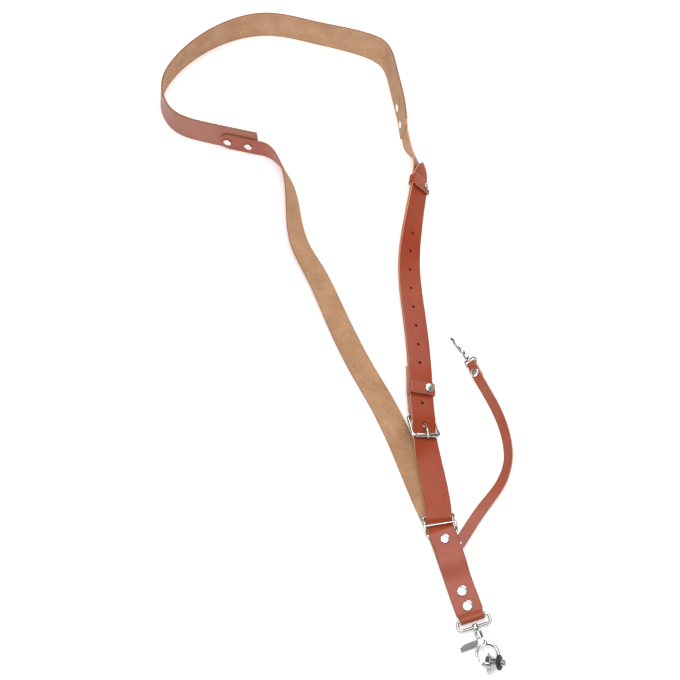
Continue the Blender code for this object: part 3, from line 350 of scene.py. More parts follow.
left_places = [
    (-0.118, 0.221, 77, 0.0),
    (-0.090, 0.178, 62, 0.0),
    (-0.080, 0.137, 51, 0.0),
    (-0.060, 0.090, 33, 0.0),
    (-0.020, 0.050, 21, 0.0),
    (0.028, -0.005, 15, 0.0),
    (0.110, -0.097, 5, 0.0),
    (0.165, -0.149, 1, 0.0),
    (0.2175, -0.210, 0, 0.0),
    (0.2730, -0.284, 0, 0.2),
]

# How high the lower edge is held over what lies under the strap, in walls
tab_lift = (2.0 * ply_gap + back_rise) / strap_wall
slide_lift = tab_lift + 1.0 + 2.0 * (ply_gap + slide_wire) / strap_wall
keeper_lift = 1.42 * (ply_gap + keeper_wall) / strap_wall
return_lift = (2.0 * ply_gap + keeper_wall + strap_wall) / strap_wall
heel_lift = 2.0 * (strap_wall / 2.0 + metal_gap + buckle_wire) / strap_wall

# The tab lies straight, from above its front edge to the bar of the snap's eye
tab_places = [
    (0.3055, -0.324, 0, tab_lift),
    (0.3385, -0.3766, 0, tab_lift),
    (0.3712, -0.4286, 0, tab_lift),
]

right_places = [
    (0.2790, 0.229, 66, 0.5),
    (0.2790, 0.184, 50, keeper_lift),
    (0.2655, 0.143, 44, 0.3 * keeper_lift),
    (0.2540, 0.106, 36, 0.0),
    (0.2465, 0.070, 28, 0.0),
    (0.2460, 0.036, 22, 0.0),
    (0.2540, -0.016, 19, 0.0),
    (0.2615, -0.066, 19, 0.3 * return_lift),
    (0.2635, -0.105, 20, return_lift),
    (0.2645, -0.140, 20, return_lift),
]
heel_place = (0.2670, -0.172, 20, heel_lift)
roller_place = (0.2725, -0.200, 20, 0.9 * heel_lift)
slide_places = [
    (0.2820, -0.232, 3, 0.7 * slide_lift),
    (0.2945, -0.268, 0, 0.75 * slide_lift),
    (0.3005, -0.297, 0, slide_lift),
    (0.303, -0.314, 0, slide_lift),
    (0.314, -0.3335, 0, slide_lift),
    (0.3225, -0.347, 0, slide_lift),
]

tether_places = [
    (0.4135, -0.292, 12, 0.6),
    (0.4640, -0.259, 30, 0.0),
    (0.4865, -0.229, 46, 0.0),
    (0.4875, -0.205, 48, 0.0),
    (0.4775, -0.178, 47, 0.0),
    (0.4545, -0.147, 45, 0.3),
    (0.4210, -0.114, 44, 1.9),
    (0.4045, -0.0945, 44, 1.9),
]


def lap_places(route, distances, off, lean, lift):
    """Places against the face of the neck band for a strap that stands on the surface too."""
    drop = -(band_width - strap_width) / 2.0
    return [(*route.spot(s, drop, off)[:2], lean, lift) for s in distances]


lap_off = band_wall / 2.0 + ply_gap + strap_wall / 2.0
band = Route(laid(band_places), band_width, band_wall)
left_lap_marks = [left_lap * share for share in (1.0, 0.67, 0.33, 0.0, -0.14)]
right_lap_marks = [band.length - right_lap * share for share in (1.0, 0.67, 0.33, 0.0, -0.2)]
left_rows = lap_places(band, left_lap_marks, lap_off, 89, 0.5) + laid(left_places + tab_places)
left = Route(left_rows, strap_width, strap_wall)
right_rows = lap_places(band, right_lap_marks, lap_off, 98, 0.0)
right_rows += laid(right_places + [heel_place, roller_place] + slide_places)
right_route = Route(right_rows, strap_width, strap_wall)

left_lap_end = left.marks[3]
right_lap_end = right_route.marks[3]
heel_mark = right_route.marks[len(right_lap_marks) + len(right_places)]
roller_mark = heel_mark + buckle_length
slide_mark = right_route.marks[-3]

# Heights of the plies off the routes
on_top = strap_wall + ply_gap
eye_height = strap_wall / 2.0 + metal_gap + eye_wire
fold_off = 2.0 * eye_height
tab_closed = strap_wall + ply_gap
tab_open = 2.0 * strap_wall + 2.0 * slide_wire + 4.0 * ply_gap
heel_height = -(strap_wall / 2.0 + metal_gap + buckle_wire)
heel_fold = 2.0 * heel_height
return_height = -(strap_wall + 2.0 * ply_gap + keeper_wall)

# Distances along the left strap, to the ends of the tab
eye_mark = left.length
tab_edge = eye_mark - tab_length


def arc(centre_s, centre_n, radius, start, end, steps):
    """Rows of an arc in the plane of a strap's length and face."""
    rows = []
    for k in range(steps + 1):
        turn = math.radians(start + (end - start) * k / steps)
        rows.append((centre_s + radius * math.cos(turn), centre_n + radius * math.sin(turn)))
    return rows


def even(rows, half):
    """Rows of (distance, height) with one half width."""
    return [(s, n, half) for s, n in rows]


def heights(table, distances):
    """Smooth heights at distances, from rows of (distance, height)."""
    knots = np.array([row[0] for row in table])
    values = np.array([row[1] for row in table])
    return [(s, float(glide(knots, values, np.array([s]))[0])) for s in distances]


def left_rivet(k):
    """Distance along the left strap of its rivets on the neck band."""
    return left_lap_end - lap_rivet_inset - lap_rivet_pitch * k


def right_rivet(k):
    """Distance along the right strap of its rivets on the neck band."""
    return right_lap_end - lap_rivet_inset - lap_rivet_pitch * k


def tab_rivet_marks():
    """Distances along the left strap of the tab's three rivets."""
    low = eye_mark - tab_rivet_low
    return [tab_edge + tab_rivet_inset, low - tab_rivet_pitch, low]


tether_rivet_mark = tab_edge + 0.017
tether_rivet_across = -(strap_width / 2.0 - 0.0026)
keeper_marks = [right_route.marks[len(right_lap_marks) + 1] - 0.002, heel_mark - 0.0290]
return_end = heel_mark - 0.056
return_rivet_mark = heel_mark - 0.046
tongue_start = keeper_marks[0] - 0.0285
prong_mark = heel_mark + 0.0098
keeper_rivet_across = -0.0065
# The tongue strap ends inside the tab, just past the tab's first rivet
tail_place, tail_along = right_route.frame(right_route.length)[:2]
tongue_tail = float(np.dot(left.spot(tab_edge + tongue_inset, 0.0, 0.0) - tail_place, tail_along))
tongue_end = right_route.length + tongue_tail


def tongue_heights(distances):
    """Heights of the tongue strap: over the buckle strap, under the roller and through the slide."""
    pitch = slide_length / 2.0
    dip = 2.0 * slide_wire
    table = [
        (tongue_start - 0.001, on_top + tip_spring),
        (tongue_start + tongue_point, on_top),
        (keeper_marks[0] + 0.02, on_top),
        (return_rivet_mark - 0.030, on_top + 0.2 * strap_wall),
        (return_rivet_mark - 0.006, on_top + ply_gap + back_rise),
        (heel_mark + 0.001, on_top + ply_gap + back_rise),
        (roller_mark - 0.002, 0.0),
        (roller_mark + 0.006, 0.0),
        (slide_mark - 2.0 * pitch, 0.0),
        (slide_mark - pitch + dip, 0.0),
        (slide_mark - 0.0012, -dip),
        (slide_mark + 0.0012, -dip),
        (slide_mark + pitch - dip, 0.0),
        (tongue_end + 0.001, 0.0),
    ]
    return heights(table, distances)


def hole_marks():
    """Distances of the free holes, up from the one that holds the prong."""
    return [prong_mark - hole_pitch * k for k in range(1, hole_count)]


tether_anchor = left.spot(tether_rivet_mark, tether_rivet_across, 0.0)
tether_lift = (tab_lift * strap_wall + strap_wall + ply_gap) / tether_wall
tether_aim = unit(np.array(laid(tether_places)[0][:2]) - tether_anchor[:2])
tether_rows = [(*(tether_anchor[:2] + tether_aim * shift), 0, tether_lift) for shift in (-0.008, 0.0, 0.008)]
tether_rows += laid(tether_places)
tether = Route(tether_rows, tether_width, tether_wall)
tether_first = tether.marks[1]
clasp_fold = tether_wall / 2.0 + metal_gap + clasp_wire
tether_rivet_up = tether.length - 0.0108
tether_return = tether.length - 0.0175
print("Lengths: band %.3f, left %.3f, right %.3f" % (band.length, left.length, right_route.length))

# %% [markdown]
# Leather has rounded corners, a face that is slightly crowned, and edges that wander by a tenth
# of a millimetre. Each strap's mesh carries what its material needs: a map in metres, which side
# is the flesh side, where the cut edge is, and how far each point lies in from the border. Metal
# is lofted through rings of points, and Booleans cut the holes.

# %%
# Mesh tools
leather_smooth = 38.0
fine = 0.0015
rim_share = 0.30
edge_wander = 0.00010
face_wander = 0.00004
hole_sides = 28
hole_press = 0.00016


def finish(name, mesh_data, materials, smooth=leather_smooth):
    """Turn a bmesh into a named object that is smooth but for its sharp edges."""
    mesh = bpy.data.meshes.new(name)
    mesh_data.to_mesh(mesh)
    mesh_data.free()
    mesh.shade_smooth()
    mesh.set_sharp_from_angle(angle=math.radians(smooth))
    for material in materials:
        mesh.materials.append(material)
    thing = bpy.data.objects.new(name, mesh)
    scene.collection.objects.link(thing)
    return thing


def put(thing, body, nodes):
    """Let a piece ride on a body and stand for its CAD nodes."""
    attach(thing, body)
    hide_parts(*nodes)
    return thing


def round_end(radius, steps=14):
    """(distance from the end, half width) rows of a half-round end, from the end inwards."""
    turns = [math.radians(7.0 + 83.0 * k / steps) for k in range(steps + 1)]
    return [(radius * (1.0 - math.cos(turn)), radius * math.sin(turn)) for turn in turns]


def arch_end(half, length, steps=7):
    """(distance from the end, half width) rows of a pointed arch."""
    radius = (length ** 2 + half ** 2) / (2.0 * half)
    rows = []
    for k in range(1, steps + 1):
        distance = length * k / steps
        rows.append((distance, half - radius + math.sqrt(radius ** 2 - (length - distance) ** 2)))
    rows[0] = (rows[0][0] * 0.35, rows[0][1] * 0.36)
    return rows


def run(start, end, step):
    """Distances from start to end in even steps, with both ends."""
    count = max(1, int(math.ceil(abs(end - start) / step)))
    return [start + (end - start) * k / count for k in range(count + 1)]


def travel(points):
    """How far each point lies along an open line of points."""
    return np.concatenate([[0.0], np.cumsum(np.linalg.norm(np.diff(points, axis=0), axis=1))])


def eased_corner(before, corner, after, size, steps):
    """Points of an eased corner in any plane."""
    here = np.array(corner, dtype=float)
    back = np.array(before, dtype=float) - here
    ahead = np.array(after, dtype=float) - here
    size = min(size, 0.45 * np.linalg.norm(back), 0.45 * np.linalg.norm(ahead))
    start = here + unit(back) * size
    end = here + unit(ahead) * size
    return [(1 - t) ** 2 * start + 2 * t * (1 - t) * here + t * t * end for t in np.linspace(0.0, 1.0, steps)]


def eased(profile, size, closed=False, steps=5):
    """An outline with its corners eased."""
    rows = [np.array(row, dtype=float) for row in profile]
    picks = range(len(rows)) if closed else range(1, len(rows) - 1)
    out = [point for k in picks for point in eased_corner(rows[k - 1], rows[k], rows[(k + 1) % len(rows)], size, steps)]
    return out if closed else [rows[0]] + out + [rows[-1]]


def loft(rings, closed=False):
    """Points and faces through rings of points. A ring of one point is a tip, and an end is capped."""
    numbers = []
    points = []
    for ring in rings:
        numbers.append([len(points) + k for k in range(len(ring))])
        points += ring
    pairs = list(zip(numbers, numbers[1:])) + ([(numbers[-1], numbers[0])] if closed else [])
    faces = []
    for low, high in pairs:
        for k in range(max(len(low), len(high))):
            corners = [low[(k - 1) % len(low)], low[k % len(low)], high[k % len(high)], high[(k - 1) % len(high)]]
            corners = list(dict.fromkeys(corners))
            if len(corners) > 2:
                faces.append(corners)
    if not closed:
        faces += [ring for ring in (numbers[0], numbers[-1][::-1]) if len(ring) > 2]
    return points, faces


def solid(parts):
    """A bmesh of several (points, faces), with its faces turned outwards."""
    shape = bmesh.new()
    for points, faces in parts:
        verts = [shape.verts.new(point) for point in points]
        for face in faces:
            shape.faces.new([verts[k] for k in face])
    bmesh.ops.recalc_face_normals(shape, faces=shape.faces)
    return shape


def fitting(name, material, parts, smooth=34.0):
    """A casting or a bent wire, as one mesh of its parts."""
    return finish(name, solid(parts), (material,), smooth)


def section(half, wall, columns=18):
    """Points round a strap's section as (across, height, edge, flesh), with rounded corners."""
    radius = rim_share * wall
    flat = half - radius
    crown = 0.02 * wall
    rows = []
    for k in range(columns + 1):
        share = 2.0 * k / columns - 1.0
        across = flat * (0.35 * math.sin(share * math.pi / 2.0) + 0.65 * share)
        rows.append((across, wall / 2.0 - crown * share ** 4, 0.0, 0.0))
    corner = []
    for turn in (25.0, 50.0, 75.0):
        angle = math.radians(turn)
        corner.append((flat + radius * math.sin(angle), wall / 2.0 - radius + radius * math.cos(angle) - crown,
                       turn / 90.0))
    rows += [(across, height, edge, 0.0) for across, height, edge in corner]
    rows += [(half, 0.18 * wall, 1.0, 0.32), (half, -0.18 * wall, 1.0, 0.68)]
    rows += [(across, -height, edge, 1.0) for across, height, edge in corner[::-1]]
    return rows + [(-across, -height, edge, 1.0 - flesh) for across, height, edge, flesh in rows]


def wander(s, seed):
    """A slow irregular wave between about -1 and 1 along a strap."""
    return (0.5 * math.sin(61.0 * s + seed) + 0.3 * math.sin(173.0 * s + 2.3 * seed)
            + 0.2 * math.sin(419.0 * s + 4.1 * seed))


def leather_piece(node, rings, travelled, full, material):
    """A piece of leather through rings of (point, inset), with the layers that its material reads."""
    shape = bmesh.new()
    layers = [shape.verts.layers.float.new(label) for label in ("edge", "flesh", "inset")]
    map_layer = shape.loops.layers.uv.new("metres")
    made = []
    for ring in rings:
        row = []
        for (point, inset), (a, h, edge, flesh) in zip(ring, full):
            vert = shape.verts.new(point)
            for layer, value in zip(layers, (edge, flesh, inset)):
                vert[layer] = value
            row.append(vert)
        made.append(row)
    turns = [(a if h > 0.0 else 0.1 - a) for a, h, edge, flesh in full]
    for i in range(len(made) - 1):
        for k in range(len(full)):
            corners = ((i, k - 1), (i, k), (i + 1, k), (i + 1, k - 1))
            face = shape.faces.new([made[row][column] for row, column in corners])
            for loop, (row, column) in zip(face.loops, corners):
                loop[map_layer].uv = (travelled[row], turns[column])
    for row, flip in ((made[0], False), (made[-1], True)):
        cap = shape.faces.new(row[::-1] if flip else row)
        cap.material_index = 1
        for loop in cap.loops:
            loop[map_layer].uv = (loop.vert.co[0] + 0.3 * loop.vert.co[1], loop.vert.co[2])
    bmesh.ops.recalc_face_normals(shape, faces=shape.faces)
    return finish(node + "_leather", shape, (material, cut_leather, hole_painted_shade))


def strap(node, route, path, wall, material, seed, holes, grain_up=True):
    """A leather strap along a path of (distance, height, half width) rows on a route.

    Holes are (route, distance, across, radius, low, high) rows. The surface is pressed in round
    each of them, and they are cut through.
    """
    table = np.array(path, dtype=float)
    heading = unit(np.gradient(table[:, :2], axis=0))
    widest = float(table[:, 2].max())
    full = section(widest, wall)
    if not grain_up:
        full = [(a, h, edge, 1.0 - flesh) for a, h, edge, flesh in full]
    core = widest - rim_share * wall
    rings = []
    for (s, n, half), (ahead, rise) in zip(table, heading):
        place, along, across, face = route.frame(s)
        face_way = face * ahead - along * rise
        half = half + edge_wander * wander(s, seed) * min(1.0, half / widest)
        lift = face_wander * wander(s, 7.0)
        ring = []
        for a, h, edge, flesh in full:
            if abs(a) <= core:
                here = a * (half - widest + core) / core
            else:
                here = math.copysign(half - widest + abs(a), a)
            ring.append((place + across * here + face * (n + lift) + face_way * h, max(0.0, half - abs(here))))
        rings.append(ring)
    thing = leather_piece(node, rings, travel(table[:, :2]), full, material)
    for home in dict.fromkeys(id(hole[0]) for hole in holes):
        rows = [hole for hole in holes if id(hole[0]) == home]
        drill(thing, rows[0][0], [hole[1:] for hole in rows])
    return put(thing, "strap", [node])


def drill(thing, route, holes):
    """Press the leather in round each hole, then cut the holes through with one Boolean."""
    mesh = thing.data
    points = np.empty(len(mesh.vertices) * 3)
    mesh.vertices.foreach_get("co", points)
    points = points.reshape(-1, 3)
    turns = [2.0 * math.pi * k / hole_sides for k in range(hole_sides)]
    cutters = []
    for s, a, radius, low, high in holes:
        place, along, across, face = route.frame(s)
        centre = place + across * a
        offset = points - centre
        height = offset @ face
        flat = np.hypot(offset @ along, offset @ across)
        near = (height > low) & (height < high) & (flat < 4.0 * radius)
        if near.any():
            middle = 0.5 * (height[near].min() + height[near].max())
            push = hole_press * np.exp(-((flat - radius) / (0.5 * radius)) ** 2) * np.sign(middle - height)
            points[near] += face * push[near][:, None]
        cutters.append(loft([[centre + face * level + along * radius * math.cos(t) + across * radius * math.sin(t)
                              for t in turns] for level in (low, high)]))
    tool = solid(cutters)
    for face in tool.faces:
        # The walls of the holes take the third material, the near-black painted shade.
        face.material_index = 2
    mesh.vertices.foreach_set("co", points.ravel())
    mesh.update()
    carve(thing, finish("holes", tool, tuple(mesh.materials)))


def carve(thing, tool):
    """Cut a piece with a tool, which is then removed. Both may cross themselves."""
    saw = thing.modifiers.new("holes", "BOOLEAN")
    saw.operation = "DIFFERENCE"
    saw.solver = "EXACT"
    saw.use_self = True
    saw.object = tool
    graph = bpy.context.evaluated_depsgraph_get()
    mesh = bpy.data.meshes.new_from_object(thing.evaluated_get(graph))
    thing.modifiers.clear()
    thing.data = mesh
    mesh.shade_smooth()
    mesh.set_sharp_from_angle(angle=math.radians(leather_smooth))
    bpy.data.objects.remove(tool)


print("Points round a strap's section:", len(section(strap_width / 2.0, strap_wall)))


# %% [markdown]
# The leather is dyed orange-brown and glazed on its grain side. Its flesh side is pale tan and
# fibrous, and its edges are raw. Four shader groups make these: the fine pebble and stretch
# lines of the grain, the fibres of the flesh side, the layers of a cut edge, and the darker line
# that the finish leaves along a border. Each gives masks and heights only.

# %%
# Shader groups of the leather
def group(name, inputs, outputs):
    """A shader node group with float or vector sockets, and its input and output nodes."""
    tree = bpy.data.node_groups.new(name, "ShaderNodeTree")
    for label, kind in inputs:
        tree.interface.new_socket(label, in_out="INPUT", socket_type="NodeSocket" + kind)
    for label, kind in outputs:
        tree.interface.new_socket(label, in_out="OUTPUT", socket_type="NodeSocket" + kind)
    return tree, tree.nodes.new("NodeGroupInput"), tree.nodes.new("NodeGroupOutput")


def noise(tree, vector, scale, detail=3.0, rough=0.5, distortion=0.0):
    """The value of a noise texture."""
    node = tree.nodes.new("ShaderNodeTexNoise")
    node.inputs["Scale"].default_value = scale
    node.inputs["Detail"].default_value = detail
    node.inputs["Roughness"].default_value = rough
    node.inputs["Distortion"].default_value = distortion
    tree.links.new(vector, node.inputs["Vector"])
    return node.outputs["Fac"]


def cells(tree, vector, scale, feature="SMOOTH_F1"):
    """The distance of a Voronoi texture."""
    node = tree.nodes.new("ShaderNodeTexVoronoi")
    node.feature = feature
    node.inputs["Scale"].default_value = scale
    tree.links.new(vector, node.inputs["Vector"])
    return node.outputs["Distance"]


def stretched(tree, vector, scale):
    """A vector scaled by its own amount on each axis."""
    node = tree.nodes.new("ShaderNodeVectorMath")
    node.operation = "MULTIPLY"
    node.inputs[1].default_value = scale
    tree.links.new(vector, node.inputs[0])
    return node.outputs["Vector"]


def maths(tree, operation, *values):
    """A math node over sockets and numbers."""
    node = tree.nodes.new("ShaderNodeMath")
    node.operation = operation
    for k, value in enumerate(values):
        if isinstance(value, (int, float)):
            node.inputs[k].default_value = value
        else:
            tree.links.new(value, node.inputs[k])
    return node.outputs["Value"]


def weighed(tree, *terms):
    """The sum of values, each times its weight."""
    total = None
    for value, weight in terms:
        part = maths(tree, "MULTIPLY", value, weight)
        total = part if total is None else maths(tree, "ADD", total, part)
    return total


def answer(tree, made, **values):
    """Link the values to the outputs of a group."""
    for label, value in values.items():
        tree.links.new(value, made.inputs[label])
    return tree


def ramp(tree, value, low, high, start=0.0, end=1.0):
    """A smooth step of a value between two levels."""
    node = tree.nodes.new("ShaderNodeMapRange")
    node.interpolation_type = "SMOOTHSTEP"
    node.inputs["From Min"].default_value = low
    node.inputs["From Max"].default_value = high
    node.inputs["To Min"].default_value = start
    node.inputs["To Max"].default_value = end
    tree.links.new(value, node.inputs["Value"])
    return node.outputs["Result"]


def mixed(tree, factor, first, second):
    """A colour mix of two sockets or colours."""
    node = tree.nodes.new("ShaderNodeMix")
    node.data_type = "RGBA"
    for socket, value in ((node.inputs["Factor"], factor), (node.inputs["A"], first), (node.inputs["B"], second)):
        if isinstance(value, (int, float)):
            socket.default_value = value
        elif isinstance(value, tuple):
            socket.default_value = (*value, 1.0)
        else:
            tree.links.new(value, socket)
    return node.outputs["Result"]


def grain_group():
    """Pebble, pores and stretch lines of the glazed side."""
    tree, given, made = group("leather_grain", [("Metres", "Vector"), ("Creases", "Float")],
                              [("Height", "Float"), ("Tone", "Float"), ("Cloud", "Float")])
    where = given.outputs["Metres"]
    cloud = noise(tree, where, 22.0, 3.0, 0.55)
    mottle = noise(tree, where, 210.0, 4.0, 0.6)
    pebble = cells(tree, where, 1250.0)
    pores = ramp(tree, cells(tree, where, 620.0, "F1"), 0.05, 0.22)
    lines = noise(tree, stretched(tree, where, (1.0, 0.16, 1.0)), 900.0, 3.0, 0.6, 0.6)
    creases = maths(tree, "MULTIPLY", lines, given.outputs["Creases"])
    height = weighed(tree, (pebble, 0.35), (creases, 0.9), (pores, 0.10), (mottle, 0.35))
    tone = weighed(tree, (mottle, 0.55), (lines, 0.25), (pores, 0.20))
    return answer(tree, made, Height=height, Tone=tone, Cloud=cloud)


def flesh_group():
    """Short fibres and specks of the raw side."""
    tree, given, made = group("leather_flesh", [("Metres", "Vector")],
                              [("Height", "Float"), ("Tone", "Float"), ("Specks", "Float")])
    where = given.outputs["Metres"]
    fibres = noise(tree, stretched(tree, where, (0.55, 1.0, 1.0)), 2300.0, 6.0, 0.75, 1.4)
    tufts = noise(tree, where, 520.0, 4.0, 0.65, 0.8)
    broad = noise(tree, where, 45.0, 3.0, 0.6)
    specks = ramp(tree, noise(tree, where, 760.0, 2.0, 0.6), 0.62, 0.74)
    tone = weighed(tree, (fibres, 0.45), (tufts, 0.30), (broad, 0.25))
    return answer(tree, made, Height=weighed(tree, (fibres, 0.6), (tufts, 0.6)), Tone=tone, Specks=specks)


def edge_group():
    """Layers and loose fibres of a cut edge."""
    tree, given, made = group("leather_cut_edge", [("Metres", "Vector")], [("Height", "Float"), ("Tone", "Float")])
    where = given.outputs["Metres"]
    layers = noise(tree, stretched(tree, where, (0.10, 1.0, 1.0)), 3200.0, 4.0, 0.7, 0.5)
    nicks = noise(tree, where, 700.0, 3.0, 0.6)
    total = weighed(tree, (layers, 0.6), (nicks, 0.4))
    return answer(tree, made, Height=total, Tone=total)


def border_group():
    """How far the finish has darkened a point near the border, from its distance in metres."""
    tree, given, made = group("leather_border", [("Inset", "Float"), ("Tone", "Float")],
                              [("Line", "Float"), ("Rub", "Float")])
    uneven = maths(tree, "MULTIPLY", maths(tree, "SUBTRACT", given.outputs["Tone"], 0.5), 0.0010)
    inset = maths(tree, "ADD", given.outputs["Inset"], uneven)
    return answer(tree, made, Line=ramp(tree, inset, 0.0003, 0.0016, 1.0, 0.0),
                  Rub=ramp(tree, inset, 0.0001, 0.0006, 1.0, 0.0))


leather_groups = {"grain": grain_group(), "flesh": flesh_group(), "edge": edge_group(), "border": border_group()}
print("Shader groups:", [tree.name for tree in leather_groups.values()])

# %% [markdown]
# Every piece of leather gets its own material from these groups, so that the neck band can be a
# little duller than the straps. The neck band, the left strap and the tether have paler, pinker grain
# tones, partly their own colour and partly a painted sheen.

# %%
# Leather materials
leather_relief = 0.00012


def placed(tree, shared, **links):
    """A group node with its inputs linked or set."""
    node = tree.nodes.new("ShaderNodeGroup")
    node.node_tree = shared
    for label, value in links.items():
        if isinstance(value, (int, float)):
            node.inputs[label].default_value = value
        else:
            tree.links.new(value, node.inputs[label])
    return node


def surface(name):
    """A new material with its node tree and its Principled shader."""
    material = bpy.data.materials.new(name)
    material.use_nodes = True
    return material, material.node_tree, material.node_tree.nodes["Principled BSDF"]


def bumped(tree, height, shader, strength, distance):
    """Let a height turn the shader's normal."""
    bump = tree.nodes.new("ShaderNodeBump")
    bump.inputs["Strength"].default_value = strength
    bump.inputs["Distance"].default_value = distance
    tree.links.new(height, bump.inputs["Height"])
    tree.links.new(bump.outputs["Normal"], shader.inputs["Normal"])


def shaded(color, share):
    """A colour times a share."""
    return tuple(min(1.0, share * c) for c in color)


def leather(name, tones, flesh, edge_tone, gloss=0.36, creases=0.5, coat=0.20, shine_level=0.5):
    """A leather with a glazed grain side, a raw flesh side and cut edges."""
    material, tree, shader = surface(name)
    deep, light = tones
    flesh_dark, flesh_light = flesh
    metres = tree.nodes.new("ShaderNodeUVMap")
    metres.uv_map = "metres"
    where = metres.outputs["UV"]
    masks = {}
    for label in ("edge", "flesh", "inset"):
        node = tree.nodes.new("ShaderNodeAttribute")
        node.attribute_name = label
        masks[label] = node.outputs["Fac"]
    grain = placed(tree, leather_groups["grain"], Metres=where, Creases=creases)
    raw = placed(tree, leather_groups["flesh"], Metres=where)
    edge = placed(tree, leather_groups["edge"], Metres=where)
    border = placed(tree, leather_groups["border"], Inset=masks["inset"], Tone=grain.outputs["Cloud"])

    glazed = mixed(tree, ramp(tree, grain.outputs["Cloud"], 0.25, 0.75), deep, light)
    dark_pores = ramp(tree, grain.outputs["Tone"], 0.30, 0.75, 0.0, 0.35)
    glazed = mixed(tree, dark_pores, glazed, shaded(deep, 0.72))
    border_line = maths(tree, "MULTIPLY", border.outputs["Line"], 0.45)
    glazed = mixed(tree, border_line, glazed, shaded(deep, 0.55))
    fibres = mixed(tree, ramp(tree, raw.outputs["Tone"], 0.36, 0.64), flesh_dark, flesh_light)
    specks = maths(tree, "MULTIPLY", raw.outputs["Specks"], 0.25)
    fibres = mixed(tree, specks, fibres, shaded(flesh_dark, 0.55))
    fibres = mixed(tree, maths(tree, "MULTIPLY", border.outputs["Rub"], 0.35), fibres, edge_tone)
    flesh_side = ramp(tree, masks["flesh"], 0.35, 0.65)
    color = mixed(tree, flesh_side, glazed, fibres)
    cut = mixed(tree, ramp(tree, edge.outputs["Tone"], 0.35, 0.65), edge_tone, shaded(edge_tone, 2.0))
    edge_side = ramp(tree, masks["edge"], 0.30, 0.80)
    color = mixed(tree, edge_side, color, cut)
    tree.links.new(color, shader.inputs["Base Color"])

    shine = ramp(tree, grain.outputs["Tone"], 0.2, 0.8, gloss, gloss + 0.14)
    rough = weighed(tree, (flesh_side, 0.42), (shine, 1.0), (edge_side, 0.25))
    tree.links.new(maths(tree, "MINIMUM", rough, 0.95), shader.inputs["Roughness"])
    glaze = maths(tree, "SUBTRACT", 1.0, maths(tree, "MAXIMUM", flesh_side, edge_side))
    tree.links.new(maths(tree, "MULTIPLY", glaze, coat), shader.inputs["Coat Weight"])
    shader.inputs["Coat Roughness"].default_value = 0.30
    shader.inputs["Specular IOR Level"].default_value = shine_level

    height = mixed(tree, flesh_side, grain.outputs["Height"], raw.outputs["Height"])
    height = mixed(tree, edge_side, height, edge.outputs["Height"])
    bumped(tree, height, shader, 0.55, leather_relief)
    return material


def cut_edge(name, dark, light):
    """Raw leather where it is cut straight through, at the ends; with near-black colours it is the painted shade inside
    the holes.
    """
    material, tree, shader = surface(name)
    where = tree.nodes.new("ShaderNodeTexCoord").outputs["Object"]
    edge = placed(tree, leather_groups["edge"], Metres=where)
    tree.links.new(mixed(tree, ramp(tree, edge.outputs["Tone"], 0.35, 0.65), dark, light), shader.inputs["Base Color"])
    shader.inputs["Roughness"].default_value = 0.85
    bumped(tree, edge.outputs["Height"], shader, 0.6, leather_relief)
    return material


cut_leather = cut_edge("cut_leather", (0.46, 0.24, 0.14), (0.74, 0.48, 0.33))
# Near-black cut leather for the walls of the holes: painted shade, much darker than the cut ends.
hole_painted_shade = cut_edge("hole_painted_shade", (0.030, 0.012, 0.007), (0.070, 0.030, 0.018))
pale_edge = (0.40, 0.20, 0.12)
flesh_tones = ((0.355, 0.190, 0.103), (0.585, 0.360, 0.218))
strap_flesh = ((0.300, 0.150, 0.076), (0.520, 0.305, 0.172))
grain_tones = ((0.300, 0.035, 0.007), (0.360, 0.056, 0.013))
# Grain tones of the neck band, the left strap and the tether: paler and pinker, partly their own colour and partly
# painted sheen.
band_tones_and_sheen = ((0.34, 0.100, 0.056), (0.40, 0.140, 0.085))
left_tones_and_sheen = ((0.335, 0.056, 0.022), (0.390, 0.084, 0.040))
tether_tones_and_sheen = ((0.325, 0.062, 0.025), (0.38, 0.092, 0.044))
band_leather = leather("band_leather", band_tones_and_sheen, flesh_tones, (0.20, 0.075, 0.035), gloss=0.42)
left_leather = leather("left_leather", left_tones_and_sheen, strap_flesh, (0.22, 0.088, 0.044), coat=0.16, shine_level=0.42)
buckle_leather = leather("buckle_leather", grain_tones, flesh_tones, pale_edge, coat=0.08)
tongue_leather = leather("tongue_leather", grain_tones, flesh_tones, pale_edge, creases=0.7, coat=0.07,
                         shine_level=0.34)
keeper_leather = leather("keeper_leather", grain_tones, flesh_tones, pale_edge, gloss=0.32)
tether_leather = leather("tether_leather", tether_tones_and_sheen, flesh_tones, pale_edge)
print("Leather materials:", 6)


# %% [markdown]
# The neck band comes first. It stands on its edge with its grain outwards, and both narrow straps
# are riveted to it. Its map runs along the band, so the creases follow it round the bends.

# %%
# Neck band
def through(route, mark, low, high, across=0.0, radius=post_radius + metal_gap):
    """A hole for a rivet's post."""
    return (route, mark, across, radius, low, high)


left_lap_holes = [through(left, left_rivet(k), -0.006, 0.006) for k in range(2)]
right_lap_holes = [through(right_route, right_rivet(k), -0.006, 0.006) for k in range(2)]
lap_holes = [hole for pair in zip(left_lap_holes, right_lap_holes) for hole in pair]
path = even([(s, 0.0) for s in run(0.0, band.length, fine)], band_width / 2.0)
neck_band = strap("neck_band", band, path, band_wall, band_leather, 1.0, lap_holes)
print("Neck band:", len(neck_band.data.polygons), "faces")

# %% [markdown]
# The left strap shows its flesh side after its twist. At the snap it is folded over and riveted
# to itself as the tab, so the tab's front shows the grain again.

